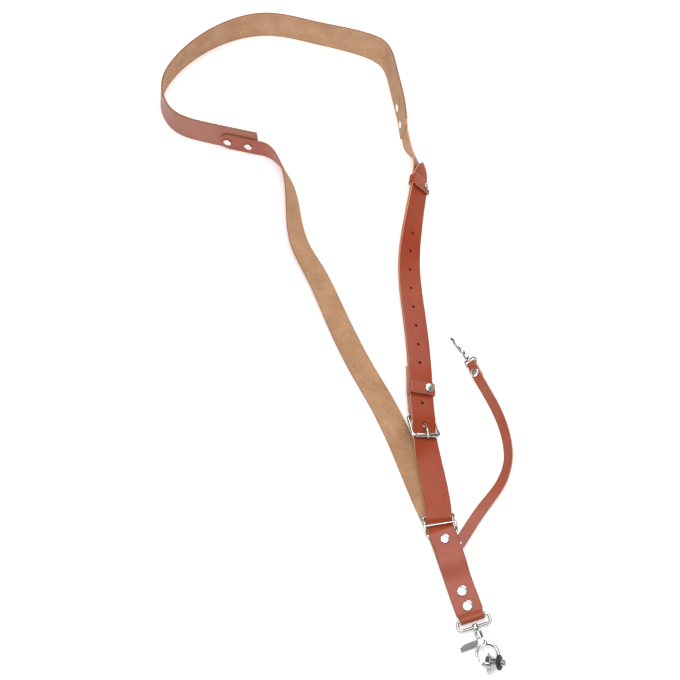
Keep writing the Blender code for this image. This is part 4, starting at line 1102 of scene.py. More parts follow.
# %%
# Left strap and tab
def folded(start, mark, half, narrow, round_steps, going, turn, table, back, end):
    """Rows of a strap that has a round end, is folded round a bar at a distance and comes back.

    The strap narrows before the bar and widens after it. Going and back give how far from the
    bar it has its full width, half of the narrowing and all of it.
    """
    full, middle, near = going
    path = [(start + d, 0.0, size) for d, size in round_end(half, round_steps)]
    path += even([(s, 0.0) for s in run(start + half + 0.001, mark - full, fine)], half)
    path += even([(mark - middle, 0.0)], 0.5 * (half + narrow))
    path += even([(mark - shift, 0.0) for shift in near], narrow)
    path += even(turn[1:], narrow)
    full, middle, near = back
    path += even(heights(table, [mark - shift for shift in near]), narrow)
    path += even(heights(table, [mark - middle]), 0.5 * (half + narrow))
    return path + even(heights(table, run(mark - full, end, fine)), half)


half = strap_width / 2.0
low = eye_mark - tab_rivet_low
cap_end = low + large_cap + 0.0004
table = [(tab_edge - 0.001, tab_open), (tab_edge + 0.026, tab_open), (low - tab_rivet_pitch - 0.007, tab_closed),
         (cap_end, tab_closed), (eye_mark, fold_off)]
path = folded(0.0, eye_mark, half, half - fold_narrowing, 16, (0.0058, 0.0044, (0.0028, 0.0014, 0.0)),
              arc(eye_mark, eye_height, eye_height, -90.0, 90.0, 22), table,
              (eye_mark - cap_end, 0.0048, (0.0008, 0.0014, 0.0022, 0.003, 0.0038)), tab_edge)
holes = left_lap_holes + [through(left, mark, -0.004, 0.012) for mark in tab_rivet_marks()]
holes.append(through(left, tether_rivet_mark, -0.0022, 0.0022, tether_rivet_across))
left_strap = strap("left_strap", left, path, strap_wall, left_leather, 2.0, holes, grain_up=False)
print("Left strap:", len(left_strap.data.polygons), "faces")

# %% [markdown]
# The right strap goes round the heel bar of the buckle and back under itself. The tongue strap
# lies on top of it with its grain up, and its holes are pressed in a little at their edges.

# %%
# Buckle strap and tongue strap
half = tongue_width / 2.0
table = [(return_end - 0.001, return_height), (heel_mark - 0.010, return_height), (heel_mark, heel_fold)]
path = folded(0.0, heel_mark, half, half - fold_narrowing, 16, (0.007, 0.0052, (0.0036, 0.0018, 0.0)),
              arc(heel_mark, heel_height, heel_height, -90.0, -270.0, 22), table,
              (0.007, 0.0052, (0.0012, 0.0024, 0.0036)), return_end)
holes = right_lap_holes + [through(right_route, return_rivet_mark, -0.008, 0.008)]
slot_half = prong_radius + 0.0006
for shift in (-0.0045 + slot_half, -0.0015, 0.0015, 0.0045, 0.009 - slot_half):
    holes.append(through(right_route, heel_mark + shift, -0.010, 0.006, 0.0, slot_half))
buckle_strap = strap("buckle_strap", right_route, path, strap_wall, buckle_leather, 3.0, holes)

point = [(tongue_start + d, size) for d, size in arch_end(half, tongue_point, 14)]
body = run(tongue_start + tongue_point + 0.001, slide_mark - slide_length, fine)
low = run(slide_mark - slide_length + 0.001, slide_mark + slide_length / 2.0, 0.001)
tail = [(tongue_end - 0.006, half), (tongue_end, 0.5 * half)]
sizes = point + [(s, half) for s in body + low] + tail
levels = tongue_heights([s for s, size in sizes])
path = [(s, n, size) for (s, n), (mark, size) in zip(levels, sizes)]
holes = [through(right_route, mark, -0.006, 0.008, 0.0, hole_radius + 0.0002) for mark in hole_marks()]
holes += [through(right_route, prong_mark + shift, -0.004, 0.006, 0.0, prong_radius + 0.0005)
          for shift in (-0.0012, 0.0010)]
holes.append(through(left, tab_rivet_marks()[0], -0.002, 0.012))
tongue_strap = strap("tongue_strap", right_route, path, strap_wall, tongue_leather, 4.0, holes)
print("Buckle strap:", len(buckle_strap.data.polygons), "faces, tongue strap:", len(tongue_strap.data.polygons))

# %% [markdown]
# Two keepers hold the tongue down. Each is a strip that is bent round the plies, with its ends
# lapped on the front under a rivet.

# %%
# Keepers
def spaced(points, step):
    """Points of an open outline with more between those that are further apart than the step."""
    rows = [points[0]]
    for first, second in zip(points, points[1:]):
        count = max(1, int(round(np.linalg.norm(second - first) / step)))
        rows += [first + (second - first) * k / count for k in range(1, count + 1)]
    return np.array(rows)


def keeper(node, mark, under, over):
    """A strip round the plies between two heights."""
    side = tongue_width / 2.0 + ply_gap + keeper_wall / 2.0
    low = under - ply_gap - keeper_wall / 2.0
    high = over + 2.0 * ply_gap + back_rise + keeper_wall / 2.0
    lap = keeper_wall + ply_gap
    corners = [(-0.0105, high), (side, high), (side, low), (-side, low), (-side, high + lap), (0.0110, high + lap)]
    outline = spaced(np.array(eased(corners, keeper_wall * 0.9, steps=9)) * (-1.0, 1.0), 0.0012)
    heading = unit(np.gradient(outline, axis=0))
    full = section(keeper_width / 2.0, keeper_wall, 12)
    rings = []
    for (x, y), (run_x, rise) in zip(outline, heading):
        rings.append([(right_route.spot(mark + a, x + rise * h, y - run_x * h), keeper_width / 2.0 - abs(a))
                      for a, h, edge, flesh in full])
    thing = leather_piece(node, rings, travel(outline), full, keeper_leather)
    hole = (mark, keeper_rivet_across, post_radius + metal_gap, high - 0.0015, high + lap + 0.0016)
    drill(thing, right_route, [hole])
    put(thing, "strap", [node])
    return high


keeper_nodes = ("upper_keeper", "lower_keeper")
keeper_tops = [keeper(node, mark, -strap_wall / 2.0, n + strap_wall / 2.0)
               for node, mark, (s, n) in zip(keeper_nodes, keeper_marks, tongue_heights(keeper_marks))]
print("Keepers:", ["%.4f" % top for top in keeper_tops])

# %% [markdown]
# The tether is the narrow strap that is riveted at the tab and ends in the small clasp. Its grain
# side is up, and its return ply lies underneath.

# %%
# Tether
half = tether_width / 2.0
closed = -(tether_wall + ply_gap)
table = [(tether_return - 0.001, closed), (tether_rivet_up + small_cap, closed), (tether.length, -2.0 * clasp_fold)]
path = folded(tether_first - half, tether.length, half, half - tether_narrowing, 14,
              (0.0060, 0.0044, (0.0030, 0.0015, 0.0)),
              arc(tether.length, -clasp_fold, clasp_fold, 90.0, -90.0, 18), table,
              (0.0060, 0.0044, (0.0008, 0.0016, 0.0028)), tether_return)
holes = [through(tether, mark, -0.006, 0.006) for mark in (tether_first, tether_rivet_up)]
tether_strap = strap("tether", tether, path, tether_wall, tether_leather, 5.0, holes)
print("Tether: %d faces, %.3f m long" % (len(tether_strap.data.polygons), tether.length))

# %% [markdown]
# The fittings are plated with polished nickel. A shader group gives the fine scratches and the
# dull patches of handling. Buckle, slide and hook get their own strength of wear, and the
# rivets are a little brighter. The washer is black rubber with ribs on its rim.

# %%
# Metal and rubber materials
def plating_group():
    """Fine scratches, dull patches and a faint hammered wave."""
    tree, given, made = group("metal_plating", [("Place", "Vector"), ("Wear", "Float")],
                              [("Height", "Float"), ("Roughness", "Float"), ("Tint", "Float")])
    where = given.outputs["Place"]
    long_marks = noise(tree, stretched(tree, where, (1.0, 0.05, 0.6)), 5200.0, 3.0, 0.7)
    cross_marks = noise(tree, stretched(tree, where, (0.06, 1.0, 0.5)), 4300.0, 3.0, 0.7)
    patches = noise(tree, where, 190.0, 3.0, 0.6)
    wave = noise(tree, where, 420.0, 1.0, 0.4)
    marks = maths(tree, "MAXIMUM", ramp(tree, long_marks, 0.60, 0.72), ramp(tree, cross_marks, 0.62, 0.74))
    worn = maths(tree, "MULTIPLY", maths(tree, "ADD", marks, patches), given.outputs["Wear"])
    height = weighed(tree, (marks, -0.35), (wave, 0.65))
    return answer(tree, made, Height=height, Roughness=ramp(tree, worn, 0.0, 1.5, 0.09, 0.34), Tint=patches)


def rubber_group():
    """Bloom and fine pits of moulded rubber."""
    tree, given, made = group("rubber_skin", [("Place", "Vector")], [("Height", "Float"), ("Bloom", "Float")])
    where = given.outputs["Place"]
    bloom = ramp(tree, noise(tree, where, 300.0, 3.0, 0.6), 0.4, 0.7)
    return answer(tree, made, Height=noise(tree, where, 2600.0, 4.0, 0.6), Bloom=bloom)


plating = plating_group()
rubber_skin = rubber_group()


def nickel(name, bright=(0.64, 0.635, 0.62), wear=0.55, dulled=0.0):
    """Polished nickel with its own wear."""
    material, tree, shader = surface(name)
    where = tree.nodes.new("ShaderNodeTexCoord").outputs["Object"]
    marks = placed(tree, plating, Place=where, Wear=wear)
    tint = ramp(tree, marks.outputs["Tint"], 0.35, 0.70)
    tree.links.new(mixed(tree, tint, bright, shaded(bright, 0.80)), shader.inputs["Base Color"])
    tree.links.new(maths(tree, "ADD", marks.outputs["Roughness"], dulled), shader.inputs["Roughness"])
    shader.inputs["Metallic"].default_value = 1.0
    bumped(tree, marks.outputs["Height"], shader, 0.20, 0.00004)
    return material


def rubber(name):
    """Black rubber with a grey bloom."""
    material, tree, shader = surface(name)
    where = tree.nodes.new("ShaderNodeTexCoord").outputs["Object"]
    look = placed(tree, rubber_skin, Place=where)
    black = mixed(tree, look.outputs["Bloom"], (0.012, 0.012, 0.013), (0.030, 0.030, 0.031))
    tree.links.new(black, shader.inputs["Base Color"])
    shader.inputs["Roughness"].default_value = 0.55
    bumped(tree, look.outputs["Height"], shader, 0.5, 0.00006)
    return material


buckle_nickel = nickel("buckle_nickel", wear=0.45)
slide_nickel = nickel("slide_nickel", wear=0.60)
snap_nickel = nickel("snap_nickel", (0.50, 0.495, 0.485), 0.50)
lever_nickel = nickel("lever_nickel", (0.76, 0.755, 0.745), 1.10, 0.14)
clasp_nickel = nickel("clasp_nickel", (0.48, 0.475, 0.47), 0.70)
rivet_nickel = nickel("rivet_nickel", (0.86, 0.855, 0.845), 0.35, 0.10)
washer_rubber = rubber("washer_rubber")
print("Metal and rubber materials: 7")

# %% [markdown]
# Round parts are turned from a profile whose corners are eased, and wires are swept along a
# smooth curve through a few points. A fitting that is one casting is one mesh of such parts.

# %%
# Turning and bending
def lathe(profile, origin, axis, sides=48, closed=False, ease=0.00025):
    """Vertices and faces of a round part. A closed profile makes a part with a bore."""
    axis = unit(np.array(axis, dtype=float))
    guide = (1.0, 0.0, 0.0) if abs(axis[0]) < 0.8 else (0.0, 1.0, 0.0)
    first = unit(np.cross(axis, guide))
    second = np.cross(axis, first)
    turns = [2.0 * math.pi * k / sides for k in range(sides)]
    rings = []
    for radius, height in eased(profile, ease, closed):
        centre = np.array(origin) + axis * height
        rings.append([centre + radius * (first * math.cos(turn) + second * math.sin(turn))
                      for turn in (turns[:1] if radius < 1e-9 else turns)])
    return loft(rings, closed)


def swept(points, radius, normal, closed=False, sides=20, squash=1.0, step=0.0004, smooth=True, tips=(True, True)):
    """Vertices and faces of a wire along points, smoothed by a spline, with rounded tips."""
    points = np.array(points, dtype=float)
    radii = np.broadcast_to(np.array(radius, dtype=float), len(points)).copy()
    if smooth:
        knots = travel(points)
        places = np.linspace(0.0, knots[-1], max(8, int(knots[-1] / step)))
        points = np.stack([cubic(knots, points[:, k], places) for k in range(3)], 1)
        radii = glide(knots, radii, places)
    normal = unit(np.array(normal, dtype=float))
    if closed:
        heading = unit(np.roll(points, -1, axis=0) - np.roll(points, 1, axis=0))
    else:
        heading = unit(np.gradient(points, axis=0))
    rows = list(zip(points, heading, radii))
    if not closed:
        turns = np.radians((15.0, 35.0, 55.0, 75.0))
        if tips[0]:
            point, ahead, size = rows[0]
            rows = [(point - ahead * size * math.cos(t), ahead, size * math.sin(t)) for t in turns] + rows
        if tips[1]:
            point, ahead, size = rows[-1]
            rows += [(point + ahead * size * math.cos(t), ahead, size * math.sin(t)) for t in turns[::-1]]
    angles = [2.0 * math.pi * k / sides for k in range(sides)]
    rings = []
    for point, ahead, size in rows:
        out = unit(np.cross(ahead, normal))
        rings.append([point + size * (out * math.cos(t) + normal * squash * math.sin(t)) for t in angles])
    return loft(rings, closed)


def fillet(corners, radius, steps=5):
    """A closed outline with its corners rounded, from (x, y) corners or (x, y, radius) ones."""
    points = []
    count = len(corners)
    for k in range(count):
        here = np.array(corners[k][:2], dtype=float)
        back = np.array(corners[k - 1][:2], dtype=float) - here
        ahead = np.array(corners[(k + 1) % count][:2], dtype=float) - here
        size = corners[k][2] if len(corners[k]) > 2 else radius
        back_way = unit(back)
        ahead_way = unit(ahead)
        half = math.acos(max(-1.0, min(1.0, float(np.dot(back_way, ahead_way))))) / 2.0
        trim = min(size / math.tan(half), 0.49 * np.linalg.norm(back), 0.49 * np.linalg.norm(ahead))
        bend = trim * math.tan(half)
        centre = here + unit(back_way + ahead_way) * bend / math.sin(half)
        start = here + back_way * trim - centre
        end = here + ahead_way * trim - centre
        turn = math.atan2(start[0] * end[1] - start[1] * end[0], float(np.dot(start, end)))
        for i in range(steps + 1):
            angle = turn * i / steps
            points.append((centre[0] + start[0] * math.cos(angle) - start[1] * math.sin(angle),
                           centre[1] + start[0] * math.sin(angle) + start[1] * math.cos(angle)))
    return points


class Seat:
    """A local place for a fitting: an origin with its own x, y and z directions."""

    def __init__(self, origin, ahead, up):
        self.origin = np.array(origin, dtype=float)
        self.x = unit(np.array(ahead, dtype=float))
        up = np.array(up, dtype=float)
        self.z = unit(up - self.x * np.dot(up, self.x))
        self.y = np.cross(self.z, self.x)

    def __call__(self, x, y, z):
        return self.origin + self.x * x + self.y * y + self.z * z

    def turn(self, x, y, z):
        """A direction in this place's own terms, as a world direction."""
        return self.x * x + self.y * y + self.z * z


# %% [markdown]
# The buckle has a bent wire frame with a sleeve that rolls on its outer bar, and a prong that
# goes through the first hole in use and rests on the sleeve.

# %%
# Roller buckle
roller_radius = buckle_wire + metal_gap + roller_wall
roller_height = strap_wall / 2.0 + metal_gap + roller_radius
heel_point = right_route.spot(heel_mark, 0.0, heel_height)
roller_point = right_route.spot(roller_mark, 0.0, roller_height)
buckle_seat = Seat(heel_point, roller_point - heel_point, right_route.frame(heel_mark)[3])
buckle_reach = float(np.linalg.norm(roller_point - heel_point))
arm_across = tongue_width / 2.0 + buckle_side_gap + buckle_wire


def buckle_spot(x, y):
    """A point on the frame's plane, which turns a little with the strap from bar to bar."""
    share = x / buckle_reach
    heel = heel_point - right_route.frame(heel_mark)[2] * y
    outer = roller_point - right_route.frame(roller_mark)[2] * y
    return heel * (1.0 - share) + outer * share


corners = [(0.0, arm_across), (buckle_reach, arm_across), (buckle_reach, -arm_across), (0.0, -arm_across)]
outline = [buckle_spot(x, y) for x, y in fillet(corners, 2.0 * buckle_wire, 14)]
wire = swept(outline, buckle_wire, buckle_seat.z, True, 28, smooth=False)
frame_wire = fitting("buckle_wire", buckle_nickel, [wire])
put(frame_wire, "strap", ["buckle_frame"])

half = arm_across - 2.0 * buckle_wire - metal_gap
inner = buckle_wire + metal_gap
profile = [(inner, -half), (roller_radius, -half), (roller_radius, half), (inner, half)]
tube = lathe(profile, roller_point, right_route.frame(roller_mark)[2], 56, True)
sleeve = fitting("roller_sleeve", buckle_nickel, [tube])
put(sleeve, "strap", ["buckle_roller"])

eye = buckle_wire + metal_gap + prong_radius
rows = [(eye * math.cos(t), heel_height + eye * math.sin(t)) for t in np.radians(np.linspace(-35, -275, 15))]
rise = tongue_heights([prong_mark])[0][1]
over = roller_height + roller_radius + metal_gap + prong_radius
shift = prong_mark - heel_mark
rows += [(shift * 0.42, heel_height + eye * 0.97), (shift * 0.70, heel_height + eye * 1.0),
         (shift - 0.0012, rise - 0.0013), (shift, rise + 0.0004), (shift + 0.0014, rise + 0.0026),
         (shift + 0.0036, over - 0.0018), (buckle_reach * 0.80, over - 0.0003),
         (buckle_reach, over), (buckle_reach + 0.0022, over - 0.0002)]
points = [right_route.spot(heel_mark + s, 0.0, n) for s, n in rows]
widths = [prong_radius] * (len(rows) - 1) + [prong_radius * 0.6]
prong = fitting("prong_wire", buckle_nickel, [swept(points, widths, right_route.frame(heel_mark)[2], sides=24)])
put(prong, "strap", ["buckle_prong"])
print("Buckle pieces:", [thing.name for thing in (frame_wire, sleeve, prong)])

# %% [markdown]
# The slide keeps the tongue strap down in front of the tab. Its middle bar is bowed up over the
# leather, and its outer bars lie below it.

# %%
# Slide
pitch = slide_length / 2.0
low = -(strap_wall / 2.0 + ply_gap + slide_wire)
high = strap_wall / 2.0 + ply_gap - slide_wire
side = tongue_width / 2.0 + slide_side_gap + slide_wire
corners = [(-pitch, side), (pitch, side), (pitch, -side), (-pitch, -side)]
outline = fillet(corners, 2.2 * slide_wire, 9)
packed = []
for first, second in zip(outline, outline[1:] + outline[:1]):
    count = 24 if abs(second[0] - first[0]) > pitch * 0.5 else 1
    packed += [tuple(np.array(first) + (np.array(second) - np.array(first)) * k / count) for k in range(count)]
slide_seat = Seat(right_route.spot(slide_mark, 0.0, 0.0), right_route.frame(slide_mark)[1], (0.0, 0.0, 1.0))
bow = [slide_seat(x, y, low + (high - low) * max(0.0, 1.0 - (x / pitch) ** 2) ** 1.5) for x, y in packed]
bar = [slide_seat(0.0, y, high) for y in np.linspace(-side, side, 9)]
slide = fitting("slide_wire", slide_nickel, [
    swept(bow, slide_wire, slide_seat.z, True, 24, smooth=False),
    swept(bar, slide_wire * 0.98, slide_seat.z, sides=24, tips=(False, False))])
put(slide, "strap", ["slide"])
print("Slide:", len(slide.data.polygons), "faces")

# %% [markdown]
# The snap's eye sits in the fold of the tab and carries a boss with a pin. The hook's collar
# turns on that pin. The hook is one casting with an open ring, and the sprung lever on its
# pivot closes the ring and ends in a thumb plate.

# %%
# Swivel snap
upwards = (0.0, 0.0, 1.0)
eye_seat = Seat(left.spot(eye_mark, 0.0, eye_height), left.frame(eye_mark)[1], upwards)
snap_turn = math.radians(3.5)
snap_ahead = eye_seat.turn(math.cos(snap_turn), math.sin(snap_turn), 0.0)
boss_reach = eye_length - 2.0 * eye_wire
boss_point = eye_seat(boss_reach, 0.0, 0.0)
hook_flat = 1.25
snap_centre_height = 0.0003 + 2.0 * bail_wire + metal_gap + hook_bar / 2.0 * hook_flat
snap_seat = Seat((boss_point[0], boss_point[1], snap_centre_height), snap_ahead, upwards)
collar_start = 0.0046
collar_end = 0.0104
pin_radius = 0.0014
pin_head = 0.0022
socket_radius = pin_head + metal_gap
collar_radius = socket_radius + 0.0012
ring_reach = 0.0262
pivot_reach = 0.0148
pivot_side = -0.0006
pivot_radius = 0.0014
lever_low = 0.0007
lever_ring = 0.0036
gate_radius = 0.0014


def ring_spot(angle, height=0.0):
    """A point on the middle line of the open hook, by its angle round the ring."""
    turn = math.radians(angle)
    return snap_seat(ring_reach + hook_radius * math.cos(turn), hook_radius * math.sin(turn), height)


side = strap_width / 2.0 + eye_side_gap + eye_wire
corners = [(0.0, side), (boss_reach, side), (boss_reach, -side), (0.0, -side)]
drop = snap_centre_height - boss_point[2]
points = [eye_seat(x, y, drop * x / boss_reach) for x, y in fillet(corners, boss_reach * 0.36, 12)]
tip = collar_end - 0.0014
neck = tip - 0.0014
boss = eye_wire + 0.0014
profile = [(0.0, -boss), (boss * 0.8, -boss), (boss, -boss * 0.6), (boss, boss * 0.6), (boss * 0.8, boss),
           (pin_radius, boss + 0.0004), (pin_radius, neck), (pin_head, neck), (pin_head, tip), (0.0, tip)]
eye_loop = fitting("snap_eye_wire", snap_nickel, [
    swept(points, eye_wire, eye_seat.z, True, 28, smooth=False),
    lathe(profile, snap_seat(0.0, 0.0, 0.0), snap_seat.x, 56, ease=0.0005)])
put(eye_loop, "strap", ["snap_eye"])

mouth = pin_radius + metal_gap
bottom = collar_end - 0.0010
head_start = collar_end - 0.0028 - metal_gap
rim = 0.0006
profile = [(0.0, bottom), (socket_radius, bottom), (socket_radius, head_start), (mouth, head_start),
           (mouth, collar_start), (collar_radius - rim, collar_start), (collar_radius, collar_start + rim),
           (collar_radius, collar_end), (collar_radius - 2.0 * rim, collar_end + 2.0 * rim),
           (0.0, collar_end + 2.0 * rim)]
collar = lathe(profile, snap_seat(0.0, 0.0, 0.0), snap_seat.x, 56, ease=0.0004)
half = hook_bar / 2.0
rows = [(snap_seat(collar_end - 0.0002, 0.0, 0.0), half * 1.35),
        (snap_seat(pivot_reach - 0.001, 0.0003, 0.0), half * 1.5)]
rows += [(ring_spot(angle), half) for angle in range(156, -30, -15)]
rows += [(ring_spot(angle), half * 0.85) for angle in (-34, -46, -57)]
ring = swept([point for point, width in rows], [width for point, width in rows], snap_seat.z, sides=32,
             squash=hook_flat, tips=(False, False))
hook = fitting("snap_hook_casting", snap_nickel, [collar, ring])
pivot_point = snap_seat(pivot_reach, pivot_side, 0.0)
well = lever_ring + 2.0 * metal_gap
profile = [(0.0, lever_low - metal_gap), (well, lever_low - metal_gap), (well, 0.02), (0.0, 0.02)]
carve(hook, fitting("well", snap_nickel, [lathe(profile, pivot_point, snap_seat.z, 56, ease=0.0002)]))
put(hook, "snap", ["snap_hook"])
top = lever_low + lever_height + metal_gap
profile = [(0.0, -0.001), (pivot_radius, -0.001), (pivot_radius, top), (2.0 * pivot_radius, top),
           (1.8 * pivot_radius, top + 0.0006), (pivot_radius, top + 0.00085), (0.0, top + 0.0009)]
pivot = fitting("snap_pivot", snap_nickel, [lathe(profile, pivot_point, snap_seat.z, 40)])
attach(pivot, "snap")

inner = pivot_radius + metal_gap
profile = [(inner, lever_low), (lever_ring, lever_low), (lever_ring, lever_low + lever_height),
           (inner, lever_low + lever_height)]
lever_eye = lathe(profile, pivot_point, snap_seat.z, 56, True, 0.0004)
middle = lever_low + lever_height / 2.0
rows = [snap_seat(pivot_reach + 0.0006, pivot_side - 0.0026, middle), snap_seat(0.0176, -0.0056, middle * 0.8)]
rows += [ring_spot(-134, middle * 0.45), ring_spot(-120, middle * 0.1)]
rows += [ring_spot(angle) for angle in (-104, -88, -79)]
gate = swept(rows, gate_radius, snap_seat.z, sides=24, squash=1.1)


def thumb_plate(rows, ease, sections=26):
    """The flat, slightly hollow plate that the thumb presses, as a loft through its sections."""
    table = np.array(rows, dtype=float)
    knots = -table[:, 0]
    rings = []
    for place in np.linspace(knots[0], knots[-1], sections):
        near, far, high = [float(glide(knots, table[:, k], np.array([place]))[0]) for k in (1, 2, 3)]
        corners = [(near, high), (far, lever_low + 0.0002), (far, lever_low + 0.0014), (near, high + 0.0012)]
        rings.append([snap_seat(x, -place, z) for x, z in eased(corners, ease, True, 4)])
    return loft(rings)


plate = thumb_plate([(-0.0026, 0.0120, 0.0168, 0.0030), (-0.0080, 0.0112, 0.0172, 0.0034),
                     (-0.0160, 0.0112, 0.0174, 0.0036), (-0.0216, 0.0128, 0.0172, 0.0032)], 0.0005)
lever = fitting("snap_lever_casting", lever_nickel, [lever_eye, gate, plate])
put(lever, "lever", ["snap_lever"])
print("Snap pieces:", [thing.name for thing in (eye_loop, hook, pivot, lever)])

# %% [markdown]
# A small D-ring hangs in the hook and passes through the head of the connector's screw. The
# ribs on the rubber washer repeat round its rim, so Geometry Nodes place them.

# %%
# Screw connector
connector_angle = -20
bar_point = ring_spot(connector_angle)
bail_seat = Seat(bar_point, bar_point - snap_seat(ring_reach, 0.0, 0.0), upwards)
tilt_across = 0.73
tilt_ahead = 0.40
tilt_up = 0.40
screw_axis = unit(snap_seat.turn(tilt_ahead, tilt_across, tilt_up))
bail_low = -(hook_bar / 2.0 * hook_flat + metal_gap + bail_wire)
head_clear = head_radius * 0.93 + head_length / 2.0 * 0.44
bail_high = hook_bar / 2.0 * hook_flat + metal_gap + head_clear
bail_half = head_radius + 2.0 * metal_gap + bail_wire
bail_middle = -0.0012
head_point = bail_seat(bail_middle, 0.0, bail_high)

corners = [(bail_middle - bail_half, bail_low), (bail_middle + bail_half, bail_low),
           (bail_middle + bail_half, bail_high), (bail_middle - bail_half, bail_high)]
points = [bail_seat(x, 0.0, z) for x, z in fillet(corners, 1.4 * bail_wire, 10)]
bail = fitting("connector_ring", snap_nickel, [swept(points, bail_wire, bail_seat.y, True, 24, smooth=False)])
put(bail, "connector", ["connector_bail"])

washer_mark = head_length / 2.0 + 0.0052
stud_end = washer_mark + washer_wall + 0.0042
half = head_length / 2.0
rim = 0.0005
shoulder = washer_mark - metal_gap
stud_core = stud_radius - 0.0004
profile = [(0.0, -half), (head_radius - rim, -half), (head_radius, rim - half), (head_radius, half - rim),
           (head_radius - rim, half), (0.0040, half), (0.0040, shoulder), (stud_core, shoulder),
           (stud_core, washer_mark + washer_wall), (stud_radius, washer_mark + washer_wall + 0.0003)]
threads = 5
for k in range(threads):
    start = washer_mark + washer_wall + 0.0004 + 0.00062 * k
    profile += [(stud_radius, start), (stud_core, start + 0.00031)]
profile += [(stud_radius, stud_end - 0.0006), (stud_radius - 0.0006, stud_end), (0.0, stud_end)]
screw = fitting("connector_stud", snap_nickel, [lathe(profile, head_point, screw_axis, 56, ease=0.0002)])
bore = bail_wire + metal_gap
profile = [(0.0, -0.01), (bore, -0.01), (bore, 0.01), (0.0, 0.01)]
carve(screw, fitting("bore", snap_nickel, [lathe(profile, head_point, bail_seat.x, 28, ease=0.0001)]))
put(screw, "connector", ["connector_screw"])


def ribs_tree(material):
    """Geometry Nodes: bars that repeat round a circle, with named sizes."""
    tree = bpy.data.node_groups.new("washer_ribs", "GeometryNodeTree")
    sockets = [("Geometry", "Geometry"), ("Count", "Int")]
    sockets += [(label, "Float") for label in ("Radius", "Thickness", "Length")]
    for label, kind in sockets:
        tree.interface.new_socket(label, in_out="INPUT", socket_type="NodeSocket" + kind)
    tree.interface.new_socket("Geometry", in_out="OUTPUT", socket_type="NodeSocketGeometry")
    given = tree.nodes.new("NodeGroupInput")
    made = tree.nodes.new("NodeGroupOutput")
    circle = tree.nodes.new("GeometryNodeMeshCircle")
    bar = tree.nodes.new("GeometryNodeMeshCylinder")
    bar.inputs["Vertices"].default_value = 10
    spread_out = tree.nodes.new("GeometryNodeInstanceOnPoints")
    real = tree.nodes.new("GeometryNodeRealizeInstances")
    paint = tree.nodes.new("GeometryNodeSetMaterial")
    paint.inputs["Material"].default_value = material
    links = tree.links
    links.new(given.outputs["Count"], circle.inputs["Vertices"])
    links.new(given.outputs["Radius"], circle.inputs["Radius"])
    links.new(given.outputs["Thickness"], bar.inputs["Radius"])
    links.new(given.outputs["Length"], bar.inputs["Depth"])
    links.new(circle.outputs["Mesh"], spread_out.inputs["Points"])
    links.new(bar.outputs["Mesh"], spread_out.inputs["Instance"])
    links.new(spread_out.outputs["Instances"], real.inputs["Geometry"])
    links.new(real.outputs["Geometry"], paint.inputs["Geometry"])
    links.new(paint.outputs["Geometry"], made.inputs["Geometry"])
    return tree


inner = stud_core + metal_gap
low = washer_mark
high = washer_mark + washer_wall
core = washer_radius - 0.0003
rim = 0.0006
profile = [(inner, low), (core - rim, low), (core, low + rim), (core, high - rim), (core - rim, high),
           (inner + rim, high)]
washer = fitting("washer_core", washer_rubber, [lathe(profile, head_point, screw_axis, 64, True)])
put(washer, "connector", ["connector_washer"])

ribs = bpy.data.objects.new("washer_ribs", bpy.data.meshes.new("washer_ribs"))
scene.collection.objects.link(ribs)
tree = ribs_tree(washer_rubber)
grow = ribs.modifiers.new("ribs", "NODES")
grow.node_group = tree
given_sizes = {"Count": 34, "Radius": core, "Thickness": 0.0003, "Length": washer_wall - 2.0 * rim}
for socket in tree.interface.items_tree:
    if socket.in_out == "INPUT" and socket.name in given_sizes:
        grow[socket.identifier] = given_sizes[socket.name]
graph = bpy.context.evaluated_depsgraph_get()
rib_mesh = bpy.data.meshes.new_from_object(ribs.evaluated_get(graph))
ribs.modifiers.clear()
ribs.data = rib_mesh
stand = mathutils.Vector(upwards).rotation_difference(mathutils.Vector(screw_axis)).to_matrix().to_4x4()
centre = head_point + screw_axis * (low + high) / 2.0
rib_mesh.transform(mathutils.Matrix.Translation(mathutils.Vector(centre)) @ stand)
rib_mesh.shade_smooth()
rib_mesh.set_sharp_from_angle(angle=math.radians(50.0))
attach(ribs, "connector")
print("Washer ribs:", len(rib_mesh.polygons), "faces")

# %% [markdown]
# The small clasp hangs in the tether's end by a wire eye, and turns on its pin. It lies on its
# edge: an arm above, and a sprung lever below that closes it.

# %%
# Clasp
clasp_along = tether.frame(tether.length)[1]
clasp_face = tether.frame(tether.length)[3]
clasp_bar = tether.spot(tether.length, 0.0, -clasp_fold)
clasp_turn = math.radians(13.0)
clasp_flat = unit(np.array([clasp_along[0] * math.cos(clasp_turn) - clasp_along[1] * math.sin(clasp_turn),
                            clasp_along[0] * math.sin(clasp_turn) + clasp_along[1] * math.cos(clasp_turn), 0.0]))
clasp_middle = max(clasp_bar[2], clasp_height / 2.0 + 0.0005)
clasp_seat = Seat((clasp_bar[0], clasp_bar[1], clasp_middle), clasp_flat, upwards)
clasp_eye_length = 0.0056

side = tether_width / 2.0 + clasp_wire + 2.0 * metal_gap
bar_seat = Seat(clasp_bar, clasp_along, clasp_face)
corners = [(0.0, side), (clasp_eye_length, side * 0.85), (clasp_eye_length, -side * 0.85), (0.0, -side)]
points = []
for x, y in fillet(corners, 0.0016, 10):
    share = (x / clasp_eye_length) ** 2
    points.append(clasp_seat(x, y, 0.0) * share + bar_seat(x, y, 0.0) * (1.0 - share))
profile = [(0.0, -0.0014), (0.0017, -0.0014), (0.0020, 0.0), (0.0017, 0.0016), (0.0009, 0.0016),
           (0.0009, 0.0044), (0.0014, 0.0044), (0.0014, 0.0053), (0.0, 0.0053)]
clasp_loop = fitting("clasp_eye_wire", clasp_nickel, [
    swept(points, clasp_wire, bar_seat.z, True, 20, smooth=False),
    lathe(profile, clasp_seat(clasp_eye_length, 0.0, 0.0), clasp_seat.x, 36)])
